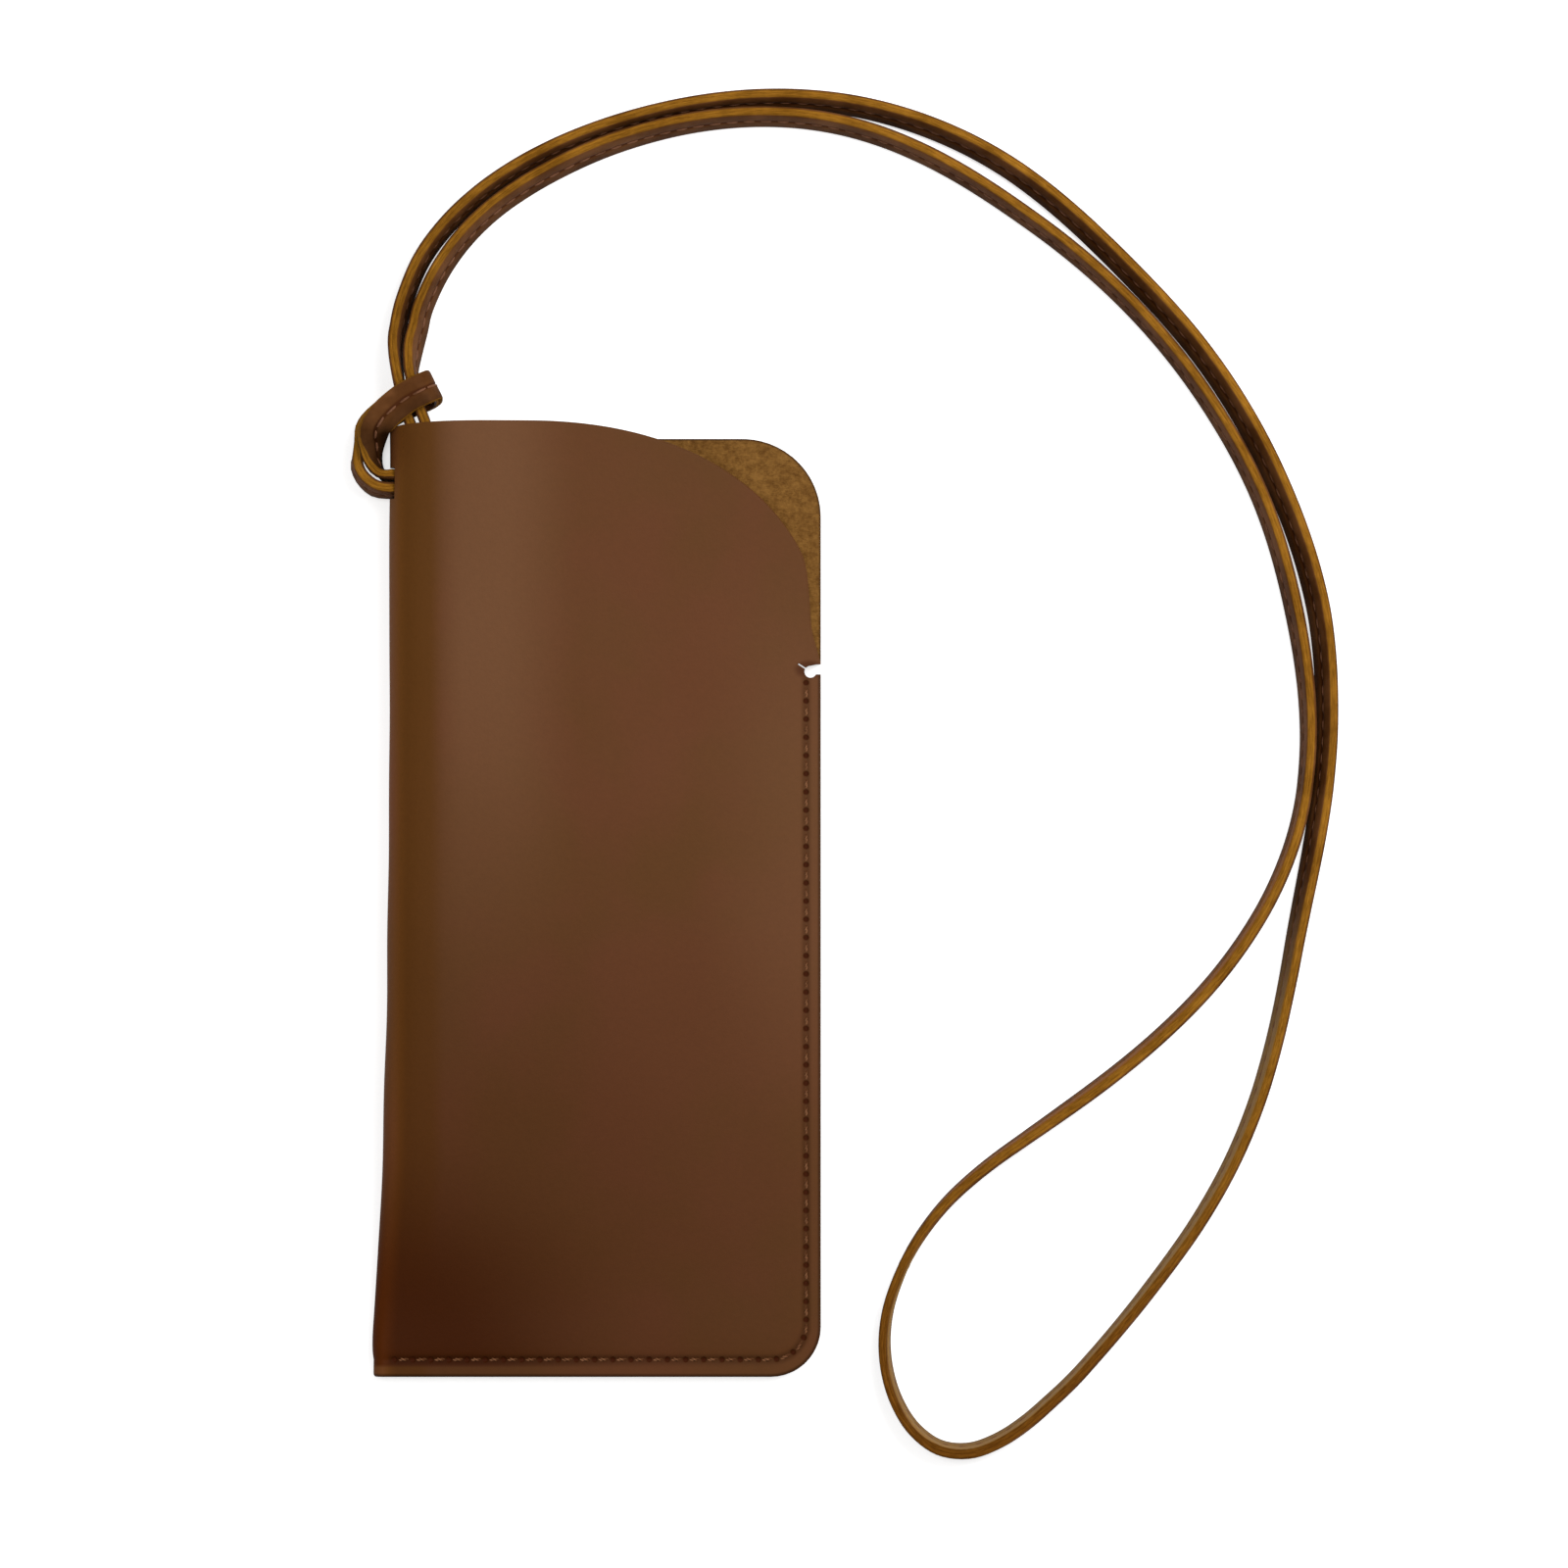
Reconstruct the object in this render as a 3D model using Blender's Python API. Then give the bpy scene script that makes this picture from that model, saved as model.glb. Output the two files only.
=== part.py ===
"""Soft sleeve for glasses: one leather blank folded at the spine, sewn down its right side
and along its foot, with a cut-away front mouth and a flat two-ply neck lanyard.

The sleeve lies on its back. X runs across it to the sewn side, Y runs up to the mouth and
Z points up from the table. The origin is at the middle of the sleeve's underside, where
the table is. Sizes are in metres, written as millimetres times MM.
"""

import math

import bmesh
import bpy
from mathutils import Vector
from mathutils.geometry import interpolate_bezier

MM = 0.001

# Sleeve, outside
CASE_WIDTH = 84.5 * MM  # pressed flat at the foot
CASE_HEIGHT = 180.3 * MM  # foot to the front panel's top edge
BACK_DROP = 3.2 * MM  # the back panel's top edge lies this much lower
FOOT_CORNER_RADIUS = 9.5 * MM
BACK_CORNER_RADIUS = 14.8 * MM
MOUTH_STRAIGHT = 6.35 * MM  # straight top edge from the spine's round to the mouth's curve
MOUTH_CURVE_DROP = 41.5 * MM  # how far the curve falls to the right edge

# The blank's two bonded layers
SKIN = 1.0 * MM
BACKING = 0.5 * MM
CLEARANCE = 0.3 * MM  # between layers that touch

# The open spine, measured from its outermost line
SPINE_DRAW_IN = 3.35 * MM  # how far the spine moves in where the sleeve stands open
OPENING_REACH = 31.8 * MM  # distance from the foot seam where the sleeve is half open
SPINE_Z = 5.9 * MM  # height of the spine's outermost line
UNDER_REACH = 4.5 * MM  # where the back panel lifts off the table
UNDER_HANDLE = 2.5 * MM
LOWER_HANDLE = 3.2 * MM
UPPER_HANDLE = 5.6 * MM
CREST_REACH = 20.0 * MM  # where the front panel becomes flat
CREST_Z = 11.5 * MM
CREST_HANDLE = 14.0 * MM

# Seam
SEAM_INSET = 2.8 * MM  # stitch line from the right edge
FOOT_SEAM_INSET = 3.3 * MM  # stitch line from the foot edge
SEAM_START = 2.55 * MM  # first stitch below the notch
SEAM_END_INSET = 4.0 * MM  # last stitch from the spine edge at the foot
STITCH_PITCH = 3.45 * MM
THREAD_RADIUS = 0.25 * MM
THREAD_ROOM = 0.25 * MM  # between a thread and the groove pressed for it
THREAD_LIFT = 0.02 * MM  # of the lower thread above the table
STITCH_RISE = 0.12 * MM

# Relief notch at the seam's top
NOTCH_BELOW_MOUTH = 5.25 * MM  # under the end of the mouth's curve
NOTCH_DEPTH = 4.25 * MM
NOTCH_RISE = 1.05 * MM  # its tail ends this much higher
NOTCH_TAIL = 0.45 * MM  # width of its tail
NOTCH_RADIUS = 1.15 * MM  # of its eye
NOTCH_EYE_INSET = 1.95 * MM  # the eye's centre from the right edge
NOTCH_EYE_DROP = 0.45 * MM  # the eye's centre below the throat's middle
NOTCH_THROAT = 0.95 * MM  # half the width at the edge

# Free lip of the front panel: it bends along a line from the notch to the top edge
LIP_LINE_START = 1.5 * MM  # where the line meets the top edge, past the spine's round
# The lip's right edge is trimmed back from the back panel's: how far in from the right edge
# and how far above the notch, in mm.
LIP_TRIM = [(-0.2, 0.6), (0.85, 4.2), (1.75, 7.9), (2.15, 13.6), (2.53, 17.4)]

# Lanyard slot in the spine
SLOT_DROP = 11.8 * MM
SLOT_LOW = 2.05 * MM
SLOT_REACH = 4.7 * MM
SLOT_ROOM_LONG = 2.4 * MM  # free length beside the two strands that pass
SLOT_ROOM_HIGH = 0.85 * MM  # free height over a strand

# Lanyard strap
STRAP_WIDTH = 6.0 * MM
STRAP_THICKNESS = 2.0 * MM
STRAP_EDGE_CHAMFER = 0.4 * MM
STRAP_LIFT = 0.1 * MM  # of its lower edge above the table

# Mesh fineness
ROWS = 14
ROW_EASE = 1.25  # brings the rows closer together at the foot, where the spine closes
CORNER_STEPS = 5
MOUTH_STEPS = 11
MOUTH_EASE = 1.3
SPINE_STEPS = 5
SIDE_STEPS = 8
SEAM_ROUND = 8
THREAD_SIDES = 5
GROOVE_SIDES = 8
NOTCH_STEPS = 7
HITCH_FINE = 8
LOOP_FINE = 6
SHARP_EDGE = math.radians(40)
CUTTER_SPARE = 15 * MM  # how far a cutter runs past what it cuts

HALF_WIDTH = CASE_WIDTH / 2
HALF_HEIGHT = CASE_HEIGHT / 2
SHEET = SKIN + CLEARANCE + BACKING
SEAM_Z = 2 * SHEET + CLEARANCE
SEAM_CORNER_RADIUS = FOOT_CORNER_RADIUS - (SEAM_INSET + FOOT_SEAM_INSET) / 2
GROOVE_RADIUS = THREAD_RADIUS + THREAD_ROOM
NOTCH_DROP = MOUTH_CURVE_DROP + NOTCH_BELOW_MOUTH
SLOT_LENGTH = 2 * STRAP_THICKNESS + SLOT_ROOM_LONG
SLOT_HIGH = SLOT_LOW + STRAP_WIDTH + SLOT_ROOM_HIGH
QUARTER_ROUND = 4 / 3 * (math.sqrt(2) - 1)

# Route of the strap's free loop, in mm from the corner of the spine and the front top edge.
# The two strands run together from the hitch: middle between them and half their spacing.
PAIR_ROUTE = [
    (2.90, 14.60, 1.65),
    (4.34, 21.88, 1.86),
    (7.86, 29.87, 2.04),
    (13.38, 36.96, 2.08),
    (20.11, 42.83, 2.10),
    (27.53, 47.58, 2.09),
    (35.61, 51.55, 2.02),
    (43.68, 54.57, 1.91),
    (52.01, 56.88, 1.82),
    (60.31, 58.40, 1.80),
    (68.81, 59.12, 1.85),
    (77.20, 58.99, 1.95),
    (85.49, 57.94, 2.14),
    (93.39, 55.97, 2.37),
    (101.22, 53.08, 2.62),
    (108.12, 49.76, 2.81),
    (114.95, 45.69, 2.92),
    (121.10, 41.42, 2.86),
    (127.08, 36.78, 2.64),
    (132.40, 32.20, 2.41),
    (137.67, 27.27, 2.25),
    (142.73, 22.13, 2.19),
    (147.45, 16.84, 2.19),
    (151.74, 11.45, 2.20),
    (155.91, 5.50, 2.20),
    (159.66, -0.57, 2.18),
    (163.06, -6.82, 2.15),
    (166.16, -13.52, 2.17),
    (168.84, -20.49, 2.29),
    (171.02, -27.50, 2.45),
    (172.83, -35.11, 2.49),
    (174.05, -42.90, 2.32),
    (174.72, -50.80, 2.06),
    (174.84, -59.10, 1.87),
    (174.28, -67.51, 1.83),
    (172.98, -75.98, 1.99),
]
# Then the strands part round the loop's end: from the right strand back to the left one.
LOOP_ROUTE = [
    (173.2, -85.7),
    (171.3, -95.2),
    (169.4, -105.5),
    (167.0, -116.6),
    (163.6, -128.3),
    (158.8, -139.9),
    (152.4, -151.2),
    (144.7, -162.0),
    (135.7, -173.2),
    (125.4, -184.2),
    (113.2, -193.0),
    (106.4, -194.5),
    (99.3, -190.6),
    (94.3, -181.3),
    (93.3, -172.7),
    (97.5, -158.1),
    (105.2, -147.2),
    (113.5, -139.9),
    (121.5, -134.2),
    (129.1, -128.8),
    (136.5, -123.3),
    (143.3, -117.7),
    (149.8, -111.6),
    (155.6, -105.2),
    (160.8, -98.2),
    (165.2, -90.9),
    (168.7, -83.1),
]
LOOP_SETTLE = 14.0 * MM  # distance in which the strands sink from the hitch to the table
# The strap stands on its edge and leans outwards: a share of the loop's length, then the
# lean in degrees, to the left as one walks from the left strand round to the right one.
LOOP_LEAN = [
    (0.0, 14),
    (0.035, 18),
    (0.08, 22),
    (0.15, 24),
    (0.28, 23),
    (0.33, 18),
    (0.37, 12),
    (0.42, 8),
    (0.46, 4),
    (0.5, 9),
    (0.545, 3),
    (0.605, -10),
    (0.69, -10),
    (0.73, -17),
    (0.85, -18),
    (0.905, -21),
    (0.945, -26),
    (0.982, -24),
    (1.0, -21),
]
PAIR_STATIONS = 22
END_STATIONS = 37
BEND_SHARE = 15.0  # mm of strap that one radian of bend counts as, when points are spaced

# Route of the strap through its hitch, in the same frame as the free loop, in mm: centre
# of the strap, then the direction that its width takes, from its lower to its upper edge.
# It comes down the left strand, passes the mouth and the slot, climbs outside as the front
# leg, folds round both strands and goes back as the rear leg to the right strand.
UP = (0, 0, 1)
HITCH_ROUTE = [
    ((1.25, 14.6, 5.0), (-0.24, 0, 0.97)),
    ((1.25, 11.8, 5.6), (-0.15, 0, 0.99)),
    ((1.5, 9.0, 6.05), (-0.05, 0, 1)),
    ((2.05, 5.9, 6.3), UP),
    ((2.85, 2.4, 6.1), UP),
    ((4.0, -0.8, 5.3), UP),
    ((4.85, -3.4, 5.2), UP),
    ((5.15, -6.2, 5.35), UP),
    ((4.6, -8.8, 5.45), UP),
    ((2.8, -10.25, 5.5), (0, 0.12, 0.99)),
    ((0.6, -10.55, 5.45), (0, 0.20, 0.98)),
    ((-1.1, -10.2, 5.5), (-0.06, 0.12, 0.99)),
    ((-2.45, -8.9, 5.7), (-0.18, 0, 0.98)),
    ((-3.2, -6.6, 6.1), (-0.36, 0, 0.93)),
    ((-3.1, -3.9, 7.25), (-0.58, 0.10, 0.81)),
    ((-2.65, -1.2, 9.65), (-0.74, 0.45, 0.50)),
    ((-0.65, 0.95, 11.0), (-0.72, 0.69, 0.04)),
    ((1.3, 2.7, 11.0), (-0.64, 0.77, 0)),
    ((3.4, 4.3, 10.85), (-0.55, 0.835, 0)),
    ((5.6, 5.45, 10.8), (-0.48, 0.88, 0)),
    ((7.0, 6.1, 10.2), (-0.47, 0.88, 0)),
    ((7.85, 6.5, 8.8), (-0.46, 0.89, 0)),
    ((7.95, 6.35, 6.1), (-0.44, 0.90, 0)),
    ((7.8, 5.9, 3.4), (-0.40, 0.92, 0)),
    ((7.0, 5.3, 1.95), (-0.38, 0.92, 0)),
    ((5.6, 4.7, 1.2), (-0.38, 0.92, 0)),
    ((3.2, 3.7, 1.15), (-0.42, 0.90, 0)),
    ((0.6, 2.5, 1.15), (-0.50, 0.86, 0)),
    ((-1.9, 0.7, 1.5), (-0.64, 0.76, 0.07)),
    ((-3.9, -1.7, 2.5), (-0.62, 0.55, 0.50)),
    ((-5.1, -4.6, 3.7), (-0.36, 0.20, 0.90)),
    ((-6.3, -7.4, 4.5), (0.10, 0.04, 0.99)),
    ((-5.5, -10.2, 5.0), (0.14, 0.14, 0.98)),
    ((-3.3, -12.4, 5.3), (0.10, 0.24, 0.965)),
    ((-0.9, -13.05, 5.4), (0, 0.22, 0.975)),
    ((1.2, -13.0, 5.45), (0, 0.20, 0.98)),
    ((3.8, -12.4, 5.4), (0, 0.08, 0.99)),
    ((6.2, -10.5, 5.3), UP),
    ((7.45, -7.6, 5.4), UP),
    ((7.45, -4.2, 5.4), UP),
    ((6.85, -0.8, 5.5), UP),
    ((5.7, 2.4, 6.15), UP),
    ((4.6, 5.9, 6.3), UP),
    ((4.05, 9.0, 6.05), (-0.10, 0, 0.99)),
    ((4.15, 11.8, 5.6), (-0.25, 0, 0.97)),
    ((4.55, 14.6, 5.0), (-0.36, 0, 0.93)),
]
HITCH_STEP = 1.6 * MM


def clear_scene():
    for item in list(bpy.data.objects):
        bpy.data.objects.remove(item, do_unlink=True)


def material(name, colour, roughness):
    made = bpy.data.materials.new(name)
    made.use_nodes = True
    shader = made.node_tree.nodes["Principled BSDF"]
    shader.inputs["Base Color"].default_value = (*colour, 1)
    shader.inputs["Roughness"].default_value = roughness
    shader.inputs["Metallic"].default_value = 0
    made.diffuse_color = (*colour, 1)
    return made


def add_object(name, data, surface=None):
    item = bpy.data.objects.new(name, data)
    bpy.context.scene.collection.objects.link(item)
    if surface:
        data.materials.append(surface)
    return item


def add_guide(name, mesh):
    guide = add_object(name, mesh)
    guide.hide_render = True
    guide.display_type = "WIRE"
    return guide


def mesh_of(name, vertices, faces):
    mesh = bpy.data.meshes.new(name)
    mesh.from_pydata(vertices, [], faces)
    shape = bmesh.new()
    shape.from_mesh(mesh)
    bmesh.ops.recalc_face_normals(shape, faces=shape.faces)
    shape.to_mesh(mesh)
    shape.free()
    return mesh


def mix(a, b, share):
    return a + (b - a) * share


def opening_at(y):
    """How far the sleeve stands open at a height: 0 at the foot seam, towards 1 above."""
    above = max(0.0, y + HALF_HEIGHT - FOOT_SEAM_INSET)
    return above**2 / (above**2 + OPENING_REACH**2)


def spine_x(y):
    return -HALF_WIDTH + SPINE_DRAW_IN * opening_at(y)


def crest(y):
    """Where the spine's round ends and the flat front begins: x and z."""
    share, fold = opening_at(y), SEAM_Z / 2
    return spine_x(y) + mix(fold, CREST_REACH, share), mix(SEAM_Z, CREST_Z, share)


def front_z(x, y):
    """Outer height of the flat part of the front panel."""
    crest_x, crest_z = crest(y)
    return SEAM_Z + (crest_z - SEAM_Z) * (HALF_WIDTH - x) / (HALF_WIDTH - crest_x)


def spine_section(y, steps):
    """The spine's outer round at one height, from the back panel to the front panel."""
    share, fold, left = opening_at(y), SEAM_Z / 2, spine_x(y)
    tight = fold * QUARTER_ROUND
    under = left + mix(fold, UNDER_REACH, share)
    middle_z = mix(fold, SPINE_Z, share)
    crest_x, crest_z = crest(y)
    fall = (crest_z - SEAM_Z) / (HALF_WIDTH - crest_x)
    back = mix(tight, CREST_HANDLE, share)
    low = interpolate_bezier(
        Vector((under, 0)),
        Vector((under - mix(tight, UNDER_HANDLE, share), 0)),
        Vector((left, middle_z - mix(tight, LOWER_HANDLE, share))),
        Vector((left, middle_z)),
        steps + 1,
    )
    high = interpolate_bezier(
        Vector((left, middle_z)),
        Vector((left, middle_z + mix(tight, UPPER_HANDLE, share))),
        Vector((crest_x - back, crest_z + back * fall)),
        Vector((crest_x, crest_z)),
        steps + 2,
    )
    return [*low, *high[1:]]


def corner(radius, turn):
    """Inset from the side and from the end on a round corner, a share of its turn."""
    angle = turn * math.pi / 2
    return radius * (1 - math.sin(angle)), radius * (1 - math.cos(angle))


def sheet_surface():
    """The blank's outer face, folded: rows up the sleeve, columns from the back panel's
    sewn edge round the spine to the front panel's sewn edge."""
    columns = []
    for step in range(CORNER_STEPS, -1, -1):
        foot_in, foot_up = corner(FOOT_CORNER_RADIUS, step / CORNER_STEPS)
        top_in, top_down = corner(BACK_CORNER_RADIUS, step / CORNER_STEPS)
        columns.append(
            ("back", HALF_WIDTH - foot_in, HALF_WIDTH - top_in, foot_up, BACK_DROP + top_down)
        )
    columns.append(("back", 0, 0, 0, BACK_DROP))
    turns = 2 * SPINE_STEPS + 1
    for step in range(turns + 1):
        ease = step / turns
        drop = BACK_DROP * (1 - ease * ease * (3 - 2 * ease))
        columns.append(("spine", step, step, 0, drop))
    curve_width = HALF_WIDTH - crest(HALF_HEIGHT)[0] - MOUTH_STRAIGHT
    for step in range(MOUTH_STEPS + 1):
        turn = 1 - (1 - step / MOUTH_STEPS) ** MOUTH_EASE
        inset, down = (
            curve_width * (1 - math.sin(turn * math.pi / 2)),
            MOUTH_CURVE_DROP * (1 - math.cos(turn * math.pi / 2)),
        )
        on_corner = step - (MOUTH_STEPS - CORNER_STEPS)
        foot_in, foot_up = (
            corner(FOOT_CORNER_RADIUS, on_corner / CORNER_STEPS) if on_corner >= 0 else (inset, 0)
        )
        columns.append(("front", HALF_WIDTH - foot_in, HALF_WIDTH - inset, foot_up, down))

    rows = [(row / ROWS) ** ROW_EASE for row in range(ROWS + 1)]
    vertices, faces = [], []
    for share in rows:
        for kind, foot, top, foot_up, top_down in columns:
            y = mix(foot_up - HALF_HEIGHT, HALF_HEIGHT - top_down, share)
            if kind == "spine":
                x, z = spine_section(y, SPINE_STEPS)[foot]
            else:
                x = mix(foot, top, share)
                z = front_z(x, y) if kind == "front" else 0
            vertices.append((x, y, z))
    wide = len(columns)
    for row in range(ROWS):
        for column in range(wide - 1):
            first = row * wide + column
            faces.append((first, first + 1, first + wide + 1, first + wide))
    mesh = bpy.data.meshes.new("blank")
    mesh.from_pydata(vertices, [], faces)
    return mesh


def layer(name, surface, depth, thickness):
    """One layer of the folded blank, at a depth below its outer face."""
    mesh = sheet_surface()
    mesh.name = name
    shape = bmesh.new()
    shape.from_mesh(mesh)
    shape.normal_update()
    places = [(vertex, vertex.co - vertex.normal * depth) for vertex in shape.verts]
    for vertex, place in places:
        vertex.co = place
    shape.to_mesh(mesh)
    shape.free()
    item = add_object(name, mesh, surface)
    wall = item.modifiers.new("wall", "SOLIDIFY")
    wall.thickness = thickness
    wall.offset = -1
    wall.use_even_offset = True
    return item


def cut(item, guide, operation="DIFFERENCE"):
    change = item.modifiers.new(guide.name, "BOOLEAN")
    change.object = guide
    change.operation = operation
    change.solver = "EXACT"


def prism(name, outline, low, high):
    """A closed upright prism over an outline of x and y."""
    count = len(outline)
    vertices = [(x, y, low) for x, y in outline] + [(x, y, high) for x, y in outline]
    faces = [tuple(range(count)), tuple(range(count, 2 * count))]
    for side in range(count):
        after = (side + 1) % count
        faces.append((side, after, after + count, side + count))
    return add_guide(name, mesh_of(name, vertices, faces))


def notch_places():
    """The notch's height at the edge, the end of its tail and the centre of its eye."""
    y = HALF_HEIGHT - NOTCH_DROP
    tail = (HALF_WIDTH - NOTCH_DEPTH, y + NOTCH_RISE)
    return y, tail, (HALF_WIDTH - NOTCH_EYE_INSET, y - NOTCH_EYE_DROP)


def notch_outline():
    """Relief notch: a narrow tail, a round eye and a throat out of the right edge."""
    y, (tail_x, tail_y), (eye_x, eye_y) = notch_places()
    towards = math.atan2(tail_y - eye_y, tail_x - eye_x)
    spread = math.asin(NOTCH_TAIL / 2 / NOTCH_RADIUS)
    off_x, off_y = NOTCH_TAIL / 2 * math.sin(towards), -NOTCH_TAIL / 2 * math.cos(towards)
    lower_wall = math.tau - math.asin((NOTCH_THROAT - NOTCH_EYE_DROP) / NOTCH_RADIUS)

    def eye(start, end):
        angles = [mix(start, end, step / NOTCH_STEPS) for step in range(NOTCH_STEPS + 1)]
        return [
            (eye_x + NOTCH_RADIUS * math.cos(angle), eye_y + NOTCH_RADIUS * math.sin(angle))
            for angle in angles
        ]

    outline = [(tail_x + off_x, tail_y + off_y), (tail_x - off_x, tail_y - off_y)]
    outline += eye(towards + spread, lower_wall)
    outline += [(HALF_WIDTH + NOTCH_DEPTH, y - NOTCH_THROAT)]
    outline += [(HALF_WIDTH + NOTCH_DEPTH, y + NOTCH_THROAT)]
    outline += [(eye_x + NOTCH_RADIUS, y + NOTCH_THROAT)]
    outline += eye(math.pi / 2, towards - spread)
    return outline


def lip_line():
    """The two ends of the line where the lip bends, on the front panel's outer face."""
    _, (low_x, low_y), _ = notch_places()
    high_x, high_y = crest(HALF_HEIGHT)[0] + LIP_LINE_START, HALF_HEIGHT
    return (
        Vector((low_x, low_y, front_z(low_x, low_y))),
        Vector((high_x, high_y, front_z(high_x, high_y))),
    )


def lip_outline(shift):
    """Everything on the lip's side of its bend line, moved off the line by a distance. Its
    lower side runs through the notch, which already parts the leather there."""
    low, high = lip_line()
    along = (high - low).to_2d().normalized()
    off = Vector((along.y, -along.x)) * shift
    start, end = low.to_2d() + off, high.to_2d() + along * CUTTER_SPARE + off
    far = HALF_WIDTH + CUTTER_SPARE
    throat_y, _, eye = notch_places()
    return [
        tuple(start),
        eye,
        (far, throat_y),
        (far, end.y),
        tuple(end),
    ]


def trim_outline():
    """What is trimmed off the lip's right edge."""
    notch_y = notch_places()[0]
    edge = [(HALF_WIDTH - inset * MM, notch_y + above * MM) for inset, above in LIP_TRIM]
    far = HALF_WIDTH + CUTTER_SPARE
    return [*edge, (far, edge[-1][1]), (far, edge[0][1])]


def seam_lengths():
    """The stitch line's three stretches: down the side, round the corner, along the foot."""
    side = CASE_HEIGHT - NOTCH_DROP - SEAM_START - FOOT_SEAM_INSET - SEAM_CORNER_RADIUS
    foot = CASE_WIDTH - SEAM_INSET - SEAM_CORNER_RADIUS - SEAM_END_INSET
    return side, SEAM_CORNER_RADIUS * math.pi / 2, foot


def seam_place(run):
    """x and y on the stitch line, a distance along it from its top."""
    side, bend, _ = seam_lengths()
    right, foot_y = HALF_WIDTH - SEAM_INSET, FOOT_SEAM_INSET - HALF_HEIGHT
    if run < side:
        return right, HALF_HEIGHT - NOTCH_DROP - SEAM_START - run
    angle = min(run - side, bend) / SEAM_CORNER_RADIUS
    past = max(0, run - side - bend)
    x = right - SEAM_CORNER_RADIUS * (1 - math.cos(angle)) - past
    return x, foot_y + SEAM_CORNER_RADIUS * (1 - math.sin(angle))


def sweep(name, points, widths, profile):
    """A closed body: a profile carried along points. Each profile point holds a distance
    along the width direction and one along the strap's face normal."""
    vertices, faces = [], []
    for index, (point, width) in enumerate(zip(points, widths)):
        before = points[max(index - 1, 0)]
        after = points[min(index + 1, len(points) - 1)]
        tangent = (after - before).normalized()
        across = (width - tangent * width.dot(tangent)).normalized()
        normal = tangent.cross(across)
        for along_width, along_normal in profile:
            vertices.append(point + across * along_width + normal * along_normal)
    sides = len(profile)
    for ring in range(len(points) - 1):
        for side in range(sides):
            after = (side + 1) % sides
            first, second = ring * sides, (ring + 1) * sides
            faces.append((first + side, first + after, second + after, second + side))
    faces.append(tuple(range(sides)))
    faces.append(tuple(range(len(vertices) - sides, len(vertices))))
    return mesh_of(name, vertices, faces)


def ring_profile(radius, sides):
    return [
        (
            radius * math.cos(2 * math.pi * (side + 0.5) / sides),
            radius * math.sin(2 * math.pi * (side + 0.5) / sides),
        )
        for side in range(sides)
    ]


def thread(name, surface, base_z, rise):
    """One continuous thread: level over each stitch, dipped at each needle hole."""
    length = sum(seam_lengths())
    stitches = round(length / STITCH_PITCH)
    points = []
    for step in range(3 * stitches + 1):
        x, y = seam_place(length * step / (3 * stitches))
        points.append(Vector((x, y, base_z(x, y) + (rise if step % 3 else 0))))
    up = [Vector(UP)] * len(points)
    return add_object(name, sweep(name, points, up, ring_profile(THREAD_RADIUS, THREAD_SIDES)), surface)


def groove(name, base_z):
    """The pressed line that a thread lies in, as a cutter."""
    side, bend, foot = seam_lengths()
    runs = [side * step / SIDE_STEPS for step in range(SIDE_STEPS)]
    runs += [side + bend * step / SEAM_ROUND for step in range(SEAM_ROUND + 1)]
    runs.append(side + bend + foot)
    points = [Vector((x, y, base_z(x, y))) for x, y in map(seam_place, runs)]
    points[0].y += CLEARANCE
    points[-1].x -= CLEARANCE
    up = [Vector(UP)] * len(points)
    return add_guide(name, sweep(name, points, up, ring_profile(GROOVE_RADIUS, GROOVE_SIDES)))


def smooth_through(knots, per_span):
    """Catmull-Rom curve through knots, which may hold any number of values."""
    line = []
    padded = [
        [2 * a - b for a, b in zip(knots[0], knots[1])],
        *knots,
        [2 * a - b for a, b in zip(knots[-1], knots[-2])],
    ]
    for span in range(len(knots) - 1):
        before, start, end, after = padded[span : span + 4]
        for step in range(per_span):
            t = step / per_span
            line.append(
                [
                    0.5
                    * (
                        2 * q
                        + (r - p) * t
                        + (2 * p - 5 * q + 4 * r - s) * t * t
                        + (3 * q - p - 3 * r + s) * t**3
                    )
                    for p, q, r, s in zip(before, start, end, after)
                ]
            )
    line.append(list(knots[-1]))
    return line


def resample(line, count, bend_share=0.0):
    """The line again as a number of points evenly spaced over its first three values, and
    closer together in bends by a share: the length that one radian of bend counts as."""
    run, last = [0.0], None
    for a, b in zip(line, line[1:]):
        step = Vector(b[:3]) - Vector(a[:3])
        bend = step.angle(last, 0.0) if last else 0.0
        run.append(run[-1] + step.length + bend_share * bend)
        last = step
    spaced, span = [], 0
    for step in range(count):
        target = run[-1] * step / (count - 1)
        while span < len(run) - 2 and run[span + 1] < target:
            span += 1
        share = (target - run[span]) / max(run[span + 1] - run[span], 1e-12)
        spaced.append([mix(a, b, share) for a, b in zip(line[span], line[span + 1])])
    return spaced


def knot_corner():
    """The corner of the spine and the front top edge, from which the strap is measured."""
    return Vector((spine_x(HALF_HEIGHT), HALF_HEIGHT, 0))


def strap_profile():
    """The strap's section: flat faces and chamfered edges."""
    half_width, half_thick, cut_off = STRAP_WIDTH / 2, STRAP_THICKNESS / 2, STRAP_EDGE_CHAMFER
    return [
        (half_width - cut_off, -half_thick),
        (half_width, cut_off - half_thick),
        (half_width, half_thick - cut_off),
        (half_width - cut_off, half_thick),
        (cut_off - half_width, half_thick),
        (-half_width, half_thick - cut_off),
        (-half_width, cut_off - half_thick),
        (cut_off - half_width, -half_thick),
    ]


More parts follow.
